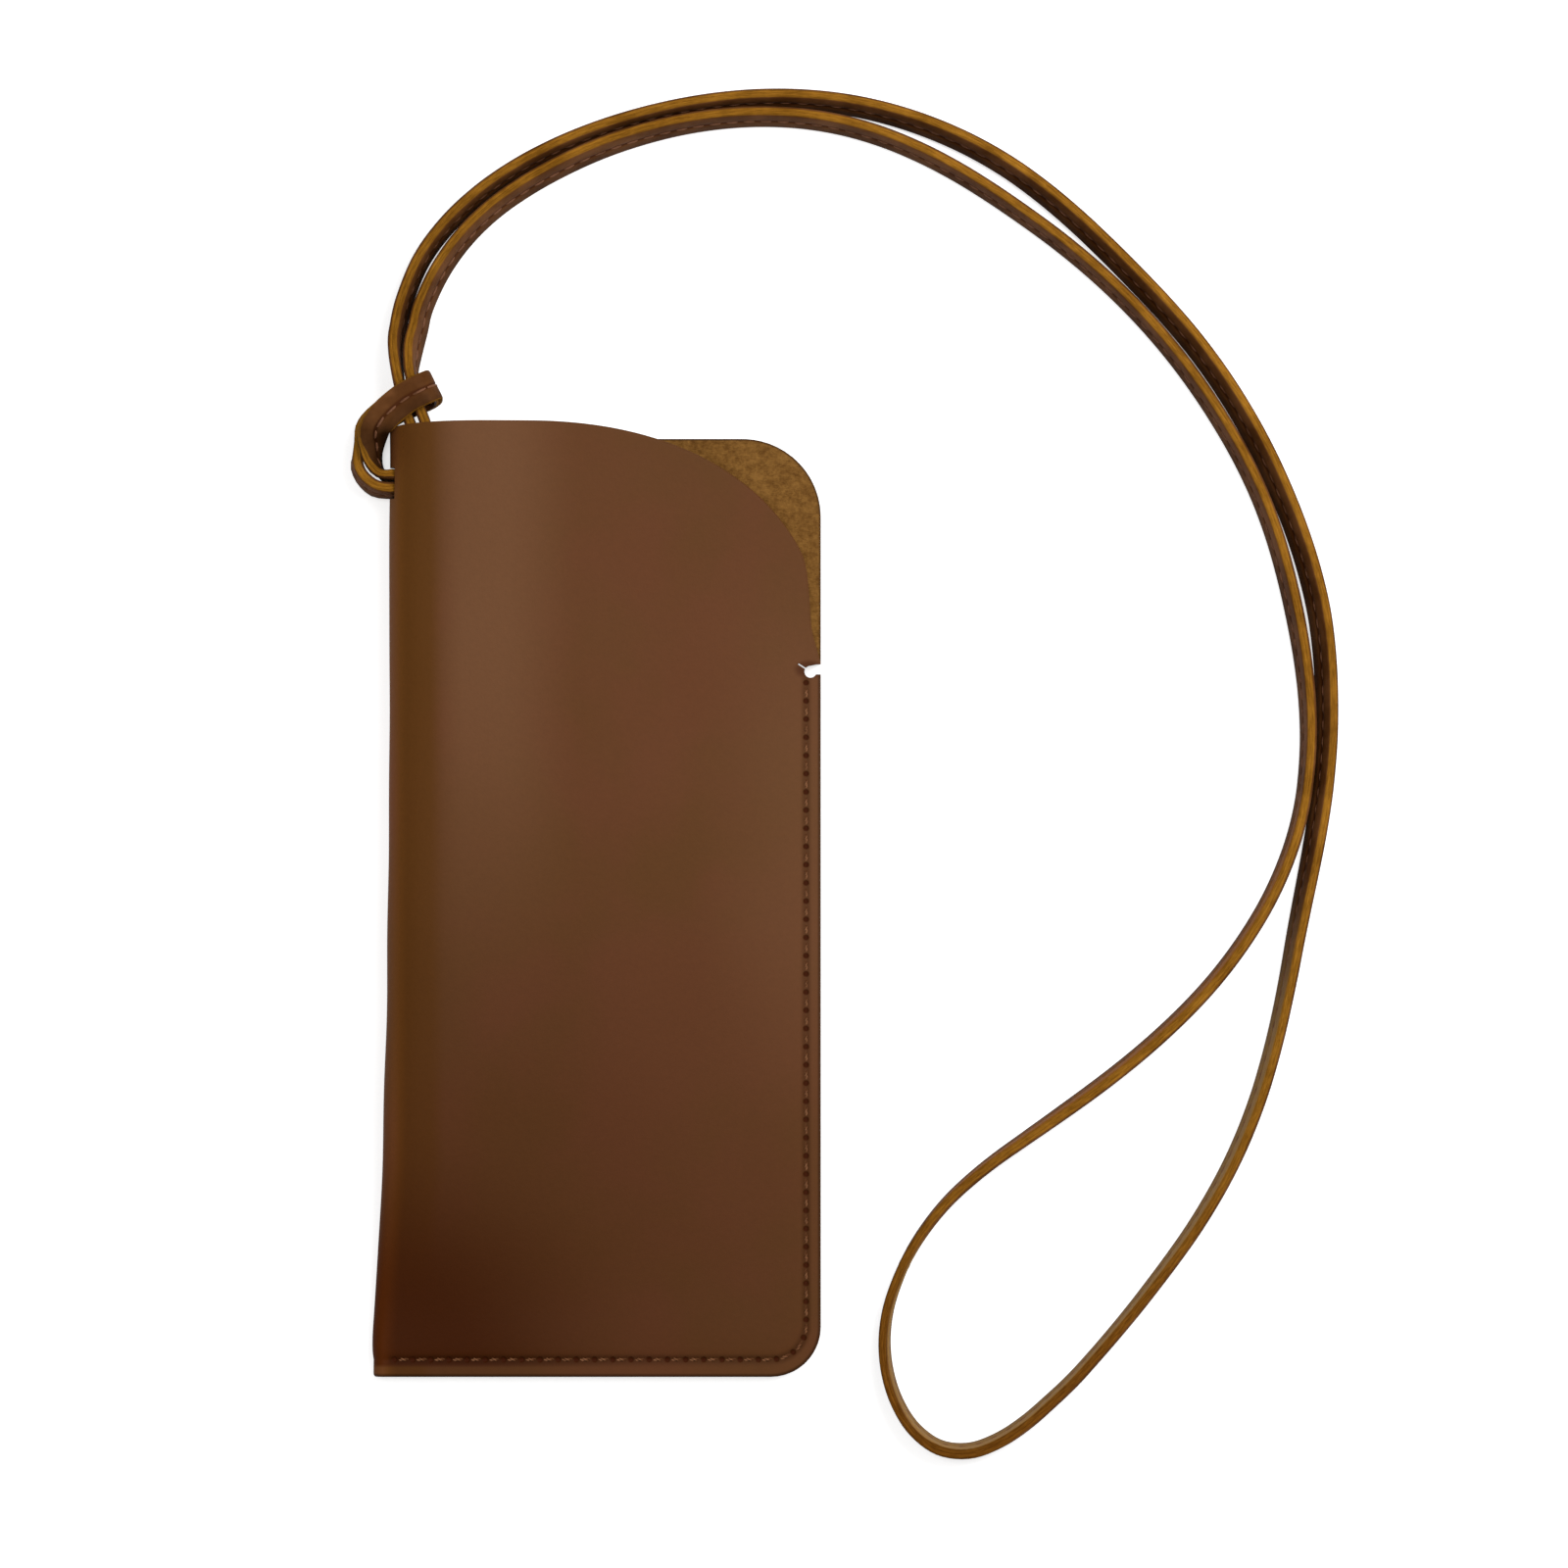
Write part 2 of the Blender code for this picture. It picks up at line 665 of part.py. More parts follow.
def hitch_mesh():
    """The strap's tied stretch, with its true pass over, under and through itself."""
    knots = [(*place, *width) for place, width in HITCH_ROUTE]
    fine = smooth_through(knots, HITCH_FINE)
    length = sum((Vector(b[:3]) - Vector(a[:3])).length for a, b in zip(fine, fine[1:])) * MM
    line = resample(fine, round(length / HITCH_STEP))
    start = knot_corner()
    points = [start + Vector(place[:3]) * MM for place in line]
    widths = [Vector(place[3:]) for place in line]
    return sweep("lanyard_hitch", points, widths, strap_profile())


def strand_start(end, inner):
    """Where a strand leaves the hitch's cut end, and a point further on, both in mm."""
    end, inner = Vector(end), Vector(inner)
    away = (end - inner).normalized()
    return end + away * (CLEARANCE / MM), end + away * (STRAP_WIDTH / 2 / MM)


def lean_at(share):
    """The strap's lean in radians, at a share of the free loop's length."""
    for (start, lean), (end, next_lean) in zip(LOOP_LEAN, LOOP_LEAN[1:]):
        if share <= end:
            return math.radians(mix(lean, next_lean, (share - start) / (end - start)))
    return 0.0


def loop_line():
    """Flat line of the free loop, in mm, from the left strand's end round to the right's."""
    pair = smooth_through(PAIR_ROUTE, LOOP_FINE)
    stations = resample([[x, y, 0, half] for x, y, half in pair], PAIR_STATIONS)
    left, right = [], []
    for index, (x, y, _, half) in enumerate(stations):
        before = stations[max(index - 1, 0)]
        after = stations[min(index + 1, len(stations) - 1)]
        along = Vector((after[0] - before[0], after[1] - before[1])).normalized()
        left.append((x - along.y * half, y + along.x * half))
        right.append((x + along.y * half, y - along.x * half))
    parted = smooth_through([left[-1], *LOOP_ROUTE, right[-1]], LOOP_FINE)
    round_end = resample([[x, y, 0] for x, y in parted], END_STATIONS, BEND_SHARE)
    return left[1:] + [(x, y) for x, y, _ in round_end[1:-1]] + right[:0:-1]


def loop_mesh():
    """The free loop: the strap standing on its lower edge, leaning outwards."""
    first = strand_start(HITCH_ROUTE[0][0], HITCH_ROUTE[1][0])
    last = strand_start(HITCH_ROUTE[-1][0], HITCH_ROUTE[-2][0])
    line = [*first, *(Vector((x, y, 0)) for x, y in loop_line()), last[1], last[0]]
    run = [0.0]
    for a, b in zip(line, line[1:]):
        run.append(run[-1] + (b - a).to_2d().length)
    points, widths = [], []
    for index, place in enumerate(line):
        lean = lean_at(run[index] / run[-1])
        ahead = line[min(index + 1, len(line) - 1)] - line[max(index - 1, 0)]
        left = Vector((-ahead.y, ahead.x, 0)).normalized()
        if place.z == 0:
            near = min((place - end[1]).to_2d().length for end in (first, last)) * MM
            upright, flat = STRAP_WIDTH * math.cos(lean), STRAP_THICKNESS * math.sin(abs(lean))
            rest = STRAP_LIFT + (upright + flat) / 2
            place.z = (rest + (first[1].z * MM - rest) * math.exp(-near / LOOP_SETTLE)) / MM
        points.append(knot_corner() + place * MM)
        widths.append(left * math.sin(lean) + Vector(UP) * math.cos(lean))
    return sweep("lanyard_loop", points, widths, strap_profile())


def main():
    clear_scene()
    grain = material("brown_grain_leather", (0.115, 0.047, 0.018), 0.42)
    suede = material("ochre_suede", (0.22, 0.10, 0.032), 0.95)
    yarn = material("brown_thread", (0.16, 0.06, 0.022), 0.6)
    strap = material("strap_leather", (0.20, 0.085, 0.022), 0.5)

    whole_low, whole_high = -CUTTER_SPARE, CREST_Z + CUTTER_SPARE
    notch = prism("notch_cut", notch_outline(), whole_low, whole_high)
    slot_left, slot_y = spine_x(HALF_HEIGHT) - CUTTER_SPARE, HALF_HEIGHT - SLOT_DROP
    slot_right = spine_x(HALF_HEIGHT) + SLOT_REACH
    slot_outline = [
        (slot_left, slot_y - SLOT_LENGTH / 2),
        (slot_right, slot_y - SLOT_LENGTH / 2),
        (slot_right, slot_y + SLOT_LENGTH / 2),
        (slot_left, slot_y + SLOT_LENGTH / 2),
    ]
    slot = prism("slot_cut", slot_outline, SLOT_LOW, SLOT_HIGH)
    between = SEAM_Z / 2
    lip_away = prism("lip_removed", lip_outline(-CLEARANCE / 2), between, whole_high)
    lip_kept = prism("lip_kept", lip_outline(CLEARANCE / 2), between, whole_high)
    trim = prism("lip_trim", trim_outline(), between, whole_high)

    def back_thread_z(x, y):
        return THREAD_RADIUS + STITCH_RISE + THREAD_LIFT

    front_groove = groove("front_groove", front_z)
    back_groove = groove("back_groove", back_thread_z)

    lining_depth = SKIN + CLEARANCE
    shell = layer("case_shell", grain, 0, SKIN)
    lining = layer("case_lining", suede, lining_depth, BACKING)
    for item in (shell, lining):
        cut(item, lip_away)
        cut(item, notch)
        cut(item, slot)
    cut(shell, front_groove)
    cut(shell, back_groove)

    lip = layer("front_lip", grain, 0, SKIN)
    lip_lining = layer("lip_lining", suede, lining_depth, BACKING)
    for item in (lip, lip_lining):
        cut(item, lip_kept, "INTERSECT")
        cut(item, notch)
        cut(item, trim)

    thread("needle_thread", yarn, front_z, STITCH_RISE)
    thread("bobbin_thread", yarn, back_thread_z, -STITCH_RISE)

    hitch = add_object("lanyard_hitch", hitch_mesh(), strap)
    loop = add_object("lanyard_loop", loop_mesh(), strap)
    for item in (shell, lining, lip, lip_lining, hitch, loop):
        item.data.shade_smooth()
        item.data.set_sharp_from_angle(angle=SHARP_EDGE)


main()
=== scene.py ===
# %% [markdown]
# # Dressing a leather glasses sleeve
# The part is a soft slip-in sleeve with a neck lanyard, lying flat. The packed solids give
# every size and place. This lesson builds the finished surfaces round them, one step a cell.

# %% Load the packed part
import math

import bpy
import numpy as np
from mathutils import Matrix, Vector


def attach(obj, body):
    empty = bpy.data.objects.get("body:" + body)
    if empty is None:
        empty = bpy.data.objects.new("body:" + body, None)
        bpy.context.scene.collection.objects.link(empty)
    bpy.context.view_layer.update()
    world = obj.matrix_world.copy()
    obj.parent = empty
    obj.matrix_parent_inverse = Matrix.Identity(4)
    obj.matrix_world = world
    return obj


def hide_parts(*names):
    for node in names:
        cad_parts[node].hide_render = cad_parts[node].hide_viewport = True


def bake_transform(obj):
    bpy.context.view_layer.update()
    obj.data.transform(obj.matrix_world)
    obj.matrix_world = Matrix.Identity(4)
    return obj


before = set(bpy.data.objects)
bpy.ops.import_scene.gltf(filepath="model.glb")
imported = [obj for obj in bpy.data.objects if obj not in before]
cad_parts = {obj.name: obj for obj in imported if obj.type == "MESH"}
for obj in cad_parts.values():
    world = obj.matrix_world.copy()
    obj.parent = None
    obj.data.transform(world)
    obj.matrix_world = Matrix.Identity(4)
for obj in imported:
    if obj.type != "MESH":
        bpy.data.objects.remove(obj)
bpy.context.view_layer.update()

MM = 0.001

# %% [markdown]
# ## Camera
# The reference view looks straight down on a flat lay. A long lens far above keeps the
# upright sides of the strap from leaning outwards, as they would under a short one. An
# orthographic camera would do the same, but then other views couldn't step back to fit.

# %% Camera straight above
PIXEL = 0.1848 * MM  # of the table in one of the picture's 1600 pixels
PICTURE = 1600 * PIXEL
PICTURE_MIDDLE = (35.3 * MM, 21.76 * MM)
LENS, SENSOR = 200.0, 36.0
VIEW_LEVEL = 5 * MM  # height at which the picture's scale is exact


def add(name, data):
    """An object in the scene, at the origin."""
    made = bpy.data.objects.new(name, data)
    bpy.context.scene.collection.objects.link(made)
    return made


camera = add("camera", bpy.data.cameras.new("camera"))
camera.data.lens = LENS
camera.data.sensor_width = SENSOR
camera.data.clip_end = 20
camera.location = (*PICTURE_MIDDLE, VIEW_LEVEL + PICTURE * LENS / SENSOR)
bpy.context.scene.camera = camera
print("camera height", round(camera.location.z, 3), "m")

# %% [markdown]
# ## The strap's route
# The lanyard is one closed ring of flat strap. Two strands run side by side, then part round
# the ring's far end. These are points chosen along them, in mm from the sleeve's top left
# corner. The pair's route holds its middle line and half its spacing.

# %% Route of the free loop
PAIR_ROUTE = [
    (2.90, 14.60, 1.65), (4.34, 21.88, 1.86), (7.86, 29.87, 2.04), (13.38, 36.96, 2.08),
    (20.11, 42.83, 2.10), (27.53, 47.58, 2.09), (35.61, 51.55, 2.02), (43.68, 54.57, 1.91),
    (52.01, 56.88, 1.82), (60.31, 58.40, 1.80), (68.81, 59.12, 1.85), (77.20, 58.99, 1.95),
    (85.49, 57.94, 2.14), (93.39, 55.97, 2.37), (101.22, 53.08, 2.62), (108.12, 49.76, 2.81),
    (114.95, 45.69, 2.92), (121.10, 41.42, 2.86), (127.08, 36.78, 2.64), (132.40, 32.20, 2.41),
    (137.67, 27.27, 2.25), (142.73, 22.13, 2.19), (147.45, 16.84, 2.19), (151.74, 11.45, 2.20),
    (155.91, 5.50, 2.20), (159.66, -0.57, 2.18), (163.06, -6.82, 2.15), (166.16, -13.52, 2.17),
    (168.84, -20.49, 2.29), (171.02, -27.50, 2.45), (172.83, -35.11, 2.49), (174.05, -42.90, 2.32),
    (174.72, -50.80, 2.06), (174.84, -59.10, 1.87), (174.28, -67.51, 1.83), (172.98, -75.98, 1.99),
]
LOOP_ROUTE = [
    (173.2, -85.7), (171.3, -95.2), (169.4, -105.5), (167.0, -116.6), (163.6, -128.3),
    (158.8, -139.9), (152.4, -151.2), (144.7, -162.0), (135.7, -173.2), (125.4, -184.2),
    (113.2, -193.0), (106.4, -194.5), (99.3, -190.6), (94.3, -181.3), (93.3, -172.7),
    (97.5, -158.1), (105.2, -147.2), (113.5, -139.9), (121.5, -134.2), (129.1, -128.8),
    (136.5, -123.3), (143.3, -117.7), (149.8, -111.6), (155.6, -105.2), (160.8, -98.2),
    (165.2, -90.9), (168.7, -83.1),
]
print(len(PAIR_ROUTE), "points for the pair,", len(LOOP_ROUTE), "round the end")

# %% [markdown]
# ## The hitch's route
# The strap is tied with a girth hitch: it comes down beside the mouth, goes in, out through
# a slot in the spine, up in front, round both strands and back behind. Each station holds
# the strap's centre and the direction of its width, so the strap can turn over as it goes.

# %% Route of the hitch
UP = (0, 0, 1)
HITCH_ROUTE = [
    ((1.25, 14.6, 5.0), (-0.24, 0, 0.97)), ((1.25, 11.8, 5.6), (-0.15, 0, 0.99)),
    ((1.5, 9.0, 6.05), (-0.05, 0, 1)), ((2.05, 5.9, 6.3), UP),
    ((2.85, 2.4, 6.1), UP), ((4.0, -0.8, 5.3), UP),
    ((4.85, -3.4, 5.2), UP), ((5.15, -6.2, 5.35), UP),
    ((4.6, -8.8, 5.45), UP), ((2.8, -10.25, 5.5), (0, 0.12, 0.99)),
    ((0.6, -10.55, 5.45), (0, 0.20, 0.98)), ((-1.1, -10.2, 5.5), (-0.06, 0.12, 0.99)),
    ((-2.45, -8.9, 5.7), (-0.18, 0, 0.98)), ((-3.2, -6.6, 6.1), (-0.36, 0, 0.93)),
    ((-3.1, -3.9, 7.25), (-0.58, 0.10, 0.81)), ((-2.65, -1.2, 9.65), (-0.74, 0.45, 0.50)),
    ((-0.65, 0.95, 11.0), (-0.72, 0.69, 0.04)), ((1.3, 2.7, 11.0), (-0.64, 0.77, 0)),
    ((3.4, 4.3, 10.85), (-0.55, 0.835, 0)), ((5.6, 5.45, 10.8), (-0.48, 0.88, 0)),
    ((7.0, 6.1, 10.2), (-0.47, 0.88, 0)), ((7.85, 6.5, 8.8), (-0.46, 0.89, 0)),
    ((7.95, 6.35, 6.1), (-0.44, 0.90, 0)), ((7.8, 5.9, 3.4), (-0.40, 0.92, 0)),
    ((7.0, 5.3, 1.95), (-0.38, 0.92, 0)), ((5.6, 4.7, 1.2), (-0.38, 0.92, 0)),
    ((3.2, 3.7, 1.15), (-0.42, 0.90, 0)), ((0.6, 2.5, 1.15), (-0.50, 0.86, 0)),
    ((-1.9, 0.7, 1.5), (-0.64, 0.76, 0.07)), ((-3.9, -1.7, 2.5), (-0.62, 0.55, 0.50)),
    ((-5.1, -4.6, 3.7), (-0.36, 0.20, 0.90)), ((-6.3, -7.4, 4.5), (0.10, 0.04, 0.99)),
    ((-5.5, -10.2, 5.0), (0.14, 0.14, 0.98)), ((-3.3, -12.4, 5.3), (0.10, 0.24, 0.965)),
    ((-0.9, -13.05, 5.4), (0, 0.22, 0.975)), ((1.2, -13.0, 5.45), (0, 0.20, 0.98)),
    ((3.8, -12.4, 5.4), (0, 0.08, 0.99)), ((6.2, -10.5, 5.3), UP),
    ((7.45, -7.6, 5.4), UP), ((7.45, -4.2, 5.4), UP),
    ((6.85, -0.8, 5.5), UP), ((5.7, 2.4, 6.15), UP),
    ((4.6, 5.9, 6.3), UP), ((4.05, 9.0, 6.05), (-0.10, 0, 0.99)),
    ((4.15, 11.8, 5.6), (-0.25, 0, 0.97)), ((4.55, 14.6, 5.0), (-0.36, 0, 0.93)),
]
print(len(HITCH_ROUTE), "stations for the hitch")

# %% [markdown]
# ## Smooth lines
# A curve that passes through all its points, with the slope at each taken from its two
# neighbours, never looks like bent wire. It works on any number of values at once, here a
# place and a width direction, and can allow for points at uneven distances. The other
# helpers walk along a line in equal steps and find the way to its left.

# %% Curve helpers
def through(knots, steps, spaced=False):
    """A smooth curve through rows of values. With spaced, it allows for their distances."""
    k = np.asarray(knots, float)
    run = lengths(k, k.shape[1]) if spaced else np.arange(len(k))
    slopes, gaps = np.gradient(k, run, axis=0), np.diff(run)[:, None, None]
    t = (np.arange(steps) / steps)[None, :, None]
    curve = k[:-1, None] * (1 + 2 * t) * (1 - t) ** 2 + k[1:, None] * t**2 * (3 - 2 * t)
    curve = curve + gaps * (slopes[:-1, None] * t * (1 - t) ** 2 - slopes[1:, None] * t**2 * (1 - t))
    return np.vstack([curve.reshape(-1, k.shape[1]), k[-1]])


def lengths(line, axes=3):
    """Distance run at each point of a line."""
    return np.concatenate([[0], np.cumsum(np.linalg.norm(np.diff(line[:, :axes], axis=0), axis=1))])


def even(line, spacing, axes=3):
    """The line again in equal steps of about a spacing."""
    run = lengths(line, axes)
    places = np.linspace(0, run[-1], max(2, round(run[-1] / spacing) + 1))
    return np.stack([np.interp(places, run, column) for column in line.T], axis=1)


def unit(rows):
    return rows / np.linalg.norm(rows, axis=-1, keepdims=True)


def leftward(line):
    """The level way to the left of a line, at each of its points."""
    heading = unit(np.gradient(line[:, :2], axis=0))
    return np.stack([-heading[:, 1], heading[:, 0]], axis=1)


print("a curve through 3 points has", len(through([(0, 0), (1, 1), (2, 0)], 8)), "points")

# %% [markdown]
# ## Both strands and the loop's end
# The strands are the pair's middle line, moved aside by half the spacing. The strap stands
# on its edge, so its width points up. It also leans: towards the outside of the great arc,
# and least in the far end, which is what a stitched strap does when it is laid down.

# %% Free loop as places and width directions
STRAP_WIDTH, STRAP_THICKNESS = 6.0, 2.0
STRAP_LIFT = 0.1  # of its lower edge above the table, in mm
LOOP_SETTLE = 6.0  # mm in which it sinks from the hitch to the table
CURVE_STEPS = 6  # from each point of a route to the next
PAIR_SPACING, END_SPACING = 8, 6  # mm between the knots that are kept
LEAN = [  # share of the loop's length, degrees to the left
    (0, 14), (0.035, 17), (0.08, 18.5), (0.15, 24), (0.195, 28), (0.28, 29), (0.33, 24),
    (0.37, 14), (0.42, 10), (0.46, 6), (0.5, 9), (0.545, 3), (0.605, -9), (0.69, -9),
    (0.73, -16), (0.8, -16), (0.85, -18), (0.905, -19), (0.945, -23), (0.982, -22), (1, -21),
]
# The two strands lean on each other, which moves them off their lines.
SLIDE = [  # share of the loop's length, mm to the left
    (0.02, 0), (0.06, -0.2), (0.12, -0.15), (0.155, 0), (0.195, -0.25), (0.24, -0.15),
    (0.272, -0.25), (0.31, 0), (0.63, 0), (0.69, -0.4), (0.73, -0.2), (0.8, 0),
    (0.86, 0), (0.91, -0.3), (0.945, -0.5), (0.975, -0.4), (0.99, 0),
]

middle = even(through([(x, y, 0, half) for x, y, half in PAIR_ROUTE], CURVE_STEPS), PAIR_SPACING)
aside = leftward(middle) * middle[:, 3:]
outer, inner = middle[:, :2] + aside, middle[:, :2] - aside
turn = through([outer[-2], outer[-1], *LOOP_ROUTE, inner[-1], inner[-2]], CURVE_STEPS, spaced=True)
far_end = even(turn, END_SPACING, axes=2)
flat = np.vstack([outer[1:-1], far_end[1:-1], inner[-2:0:-1]])
run = lengths(flat, 2)
flat += leftward(flat) * np.interp(run / run[-1], *zip(*SLIDE))[:, None]

# The loop goes on with the bend that each end of the hitch has.
ends, before, earlier = (np.array([HITCH_ROUTE[i][0], HITCH_ROUTE[-1 - i][0]]) for i in range(3))
leads = 3 * (ends - before) + earlier
flat = np.vstack([leads[0, :2], flat, leads[1, :2]])
run = lengths(flat, 2)
lean = np.radians(np.interp(run / run[-1], *zip(*LEAN)))[:, None]
rest = STRAP_LIFT + (STRAP_WIDTH * np.cos(lean) + STRAP_THICKNESS * np.sin(abs(lean))) / 2
near = np.min([np.linalg.norm(flat - lead[:2], axis=1) for lead in leads], axis=0)[:, None]
free = np.hstack([flat, rest + (leads[0, 2] - rest) * np.exp(-near / LOOP_SETTLE)])
left = np.column_stack([leftward(free), np.zeros(len(free))])
free_width = left * np.sin(lean) + np.array(UP) * np.cos(lean)
print("free loop", round(run[-1]), "mm,", len(free), "knots")

# %% [markdown]
# ## One ring of strap
# The ring starts and ends inside the sleeve, where the joint is out of sight. The free loop
# is walked backwards, so the route goes on from the hitch's end. The corner that the routes
# are measured from is the spine's outermost line at the front panel's top edge.

# %% Stations round the whole ring
CORNER = np.array([-39.005, 90.15, 0.0])  # mm, in the part's frame
START = 7  # the hitch's station inside the pocket
STATION, RING_STEPS = 1.1, 8  # mm between stations, and points worked out from knot to knot

hitch = np.array([(*place, *width) for place, width in HITCH_ROUTE], float)
loose = np.hstack([free, free_width])[::-1]
ring = np.vstack([hitch[START:], loose, hitch[: START + 1]])
stations = even(through(ring, RING_STEPS), STATION)
centre = (stations[:, :3] + CORNER) * MM
tangent = unit(np.gradient(centre, axis=0))
width_way = stations[:, 3:]
width_way = unit(width_way - tangent * np.sum(width_way * tangent, axis=1)[:, None])
face_way = np.cross(tangent, width_way)
strap_run = lengths(centre)
print("ring", round(strap_run[-1], 4), "m long,", len(centre), "stations")

# %% [markdown]
# ## The strap's section
# Two plies of leather lie back to back. Grain is on the two faces, the cut edges show the
# raw leather, with a crease between the plies. A pressed line for the stitches runs down
# the middle of each face. A quarter of the section is listed, then mirrored twice.

# %% Section of two plies
PRESSED = 0.84  # mm from the middle to the pressed line, where the faces are at 1 mm
QUARTER_SECTION = [  # mm: out of the face, along the width
    (0.00, 2.90), (0.12, 2.99), (0.48, 3.02), (0.76, 2.96), (0.86, 2.90),
    (0.96, 2.72), (1.00, 2.40), (1.00, 0.95), (0.97, 0.45), (PRESSED, 0.18),
]
half_section = QUARTER_SECTION + [(out, -wide) for out, wide in QUARTER_SECTION[::-1]]
section = np.array(half_section + [(-out, wide) for out, wide in half_section[-2:0:-1]])
print("section of", len(section), "points")

# %% [markdown]
# ## Meshes from grids
# Nearly every surface here is a grid: rings of a section, or rows and columns of a sheet.
# Writing vertices and faces straight from arrays is quick and exact. Values that a finish
# needs later, such as the place on the section, are kept as attributes on the points.

# %% Mesh helper
def keep_values(mesh, values):
    """Numbers on a mesh's points, for a finish to read."""
    for title, numbers in values.items():
        layer = mesh.attributes.new(title, "FLOAT", "POINT")
        layer.data.foreach_set("value", np.asarray(numbers, np.float32).ravel())


def new_object(name, vertices, faces, values=None, smooth_below=40):
    mesh = bpy.data.meshes.new(name)
    mesh.from_pydata([tuple(v) for v in vertices], [], [tuple(f) for f in faces])
    keep_values(mesh, values or {})
    mesh.validate()
    mesh.shade_smooth()
    mesh.set_sharp_from_angle(angle=math.radians(smooth_below))
    return add(name, mesh)


def ring_faces(rings, sides):
    """Quads between rings of a closed section, facing out."""
    first = np.arange(rings - 1)[:, None] * sides
    side = np.arange(sides)[None, :]
    after = (side + 1) % sides
    quads = [first + sides + side, first + sides + after, first + after, first + side]
    return np.stack(quads, axis=-1).reshape(-1, 4)


# %% Lanyard strap
out = section[None, :, :1] * MM * face_way[:, None, :]
wide = section[None, :, 1:] * MM * width_way[:, None, :]
points = (centre[:, None, :] + out + wide).reshape(-1, 3)
sides = len(section)
caps = [list(range(sides)), list(range(len(points) - sides, len(points)))[::-1]]
values = {
    "ply_out": np.tile(section[:, 0], len(centre)),
    "ply_wide": np.tile(section[:, 1], len(centre)),
    "strap_run": np.repeat(strap_run / MM, sides),
}
faces = ring_faces(len(centre), sides).tolist() + caps
strap = new_object("lanyard_strap", points, faces, values, smooth_below=60)
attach(strap, "case")
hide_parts("lanyard_loop", "lanyard_hitch")
print("strap:", len(strap.data.polygons), "faces")

# %% [markdown]
# ## Stitches by Geometry Nodes
# Stitches repeat along a path, which is what Geometry Nodes are good at. The path is a
# line of vertices that carry the way out of the surface. The tree walks it in equal steps,
# makes one stitch, a short arc of twisted yarn that dives into its holes, and sets a copy
# on each step. Real copies and a plain mesh come out, because instances aren't exported.

# %% Sizes of the strap's stitches
STRAP_SEWING = {
    "Pitch": 3.2 * MM,
    "Stitch length": 2.45 * MM,
    "Yarn radius": 0.27 * MM,
    "Rise": 0.06 * MM,
    "Dive": 0.35 * MM,
    "Twist turns": 0.0,
    "Ply count": 1,
    "Sides": 6,
    "Steps": 5,
}
print("a stitch every", round(STRAP_SEWING["Pitch"] / MM, 1), "mm of strap")


# %% Stitch tree
HANDLE_OUT, HANDLE_UP = 0.62, 1.6  # of the arc: shares of half its length and of its rise
PLY_SEAT = 0.8  # share of the yarn's radius at which its plies lie round its middle


def add_node(tree, kind, inputs=None, output=0, **settings):
    """One output of a new node, with its settings made and its inputs filled."""
    made = tree.nodes.new(kind)
    for key, value in settings.items():
        setattr(made, key, value)
    for key, value in (inputs or {}).items():
        if isinstance(value, bpy.types.NodeSocket):
            tree.links.new(value, made.inputs[key])
        else:
            made.inputs[key].default_value = value
    return made.outputs[output]


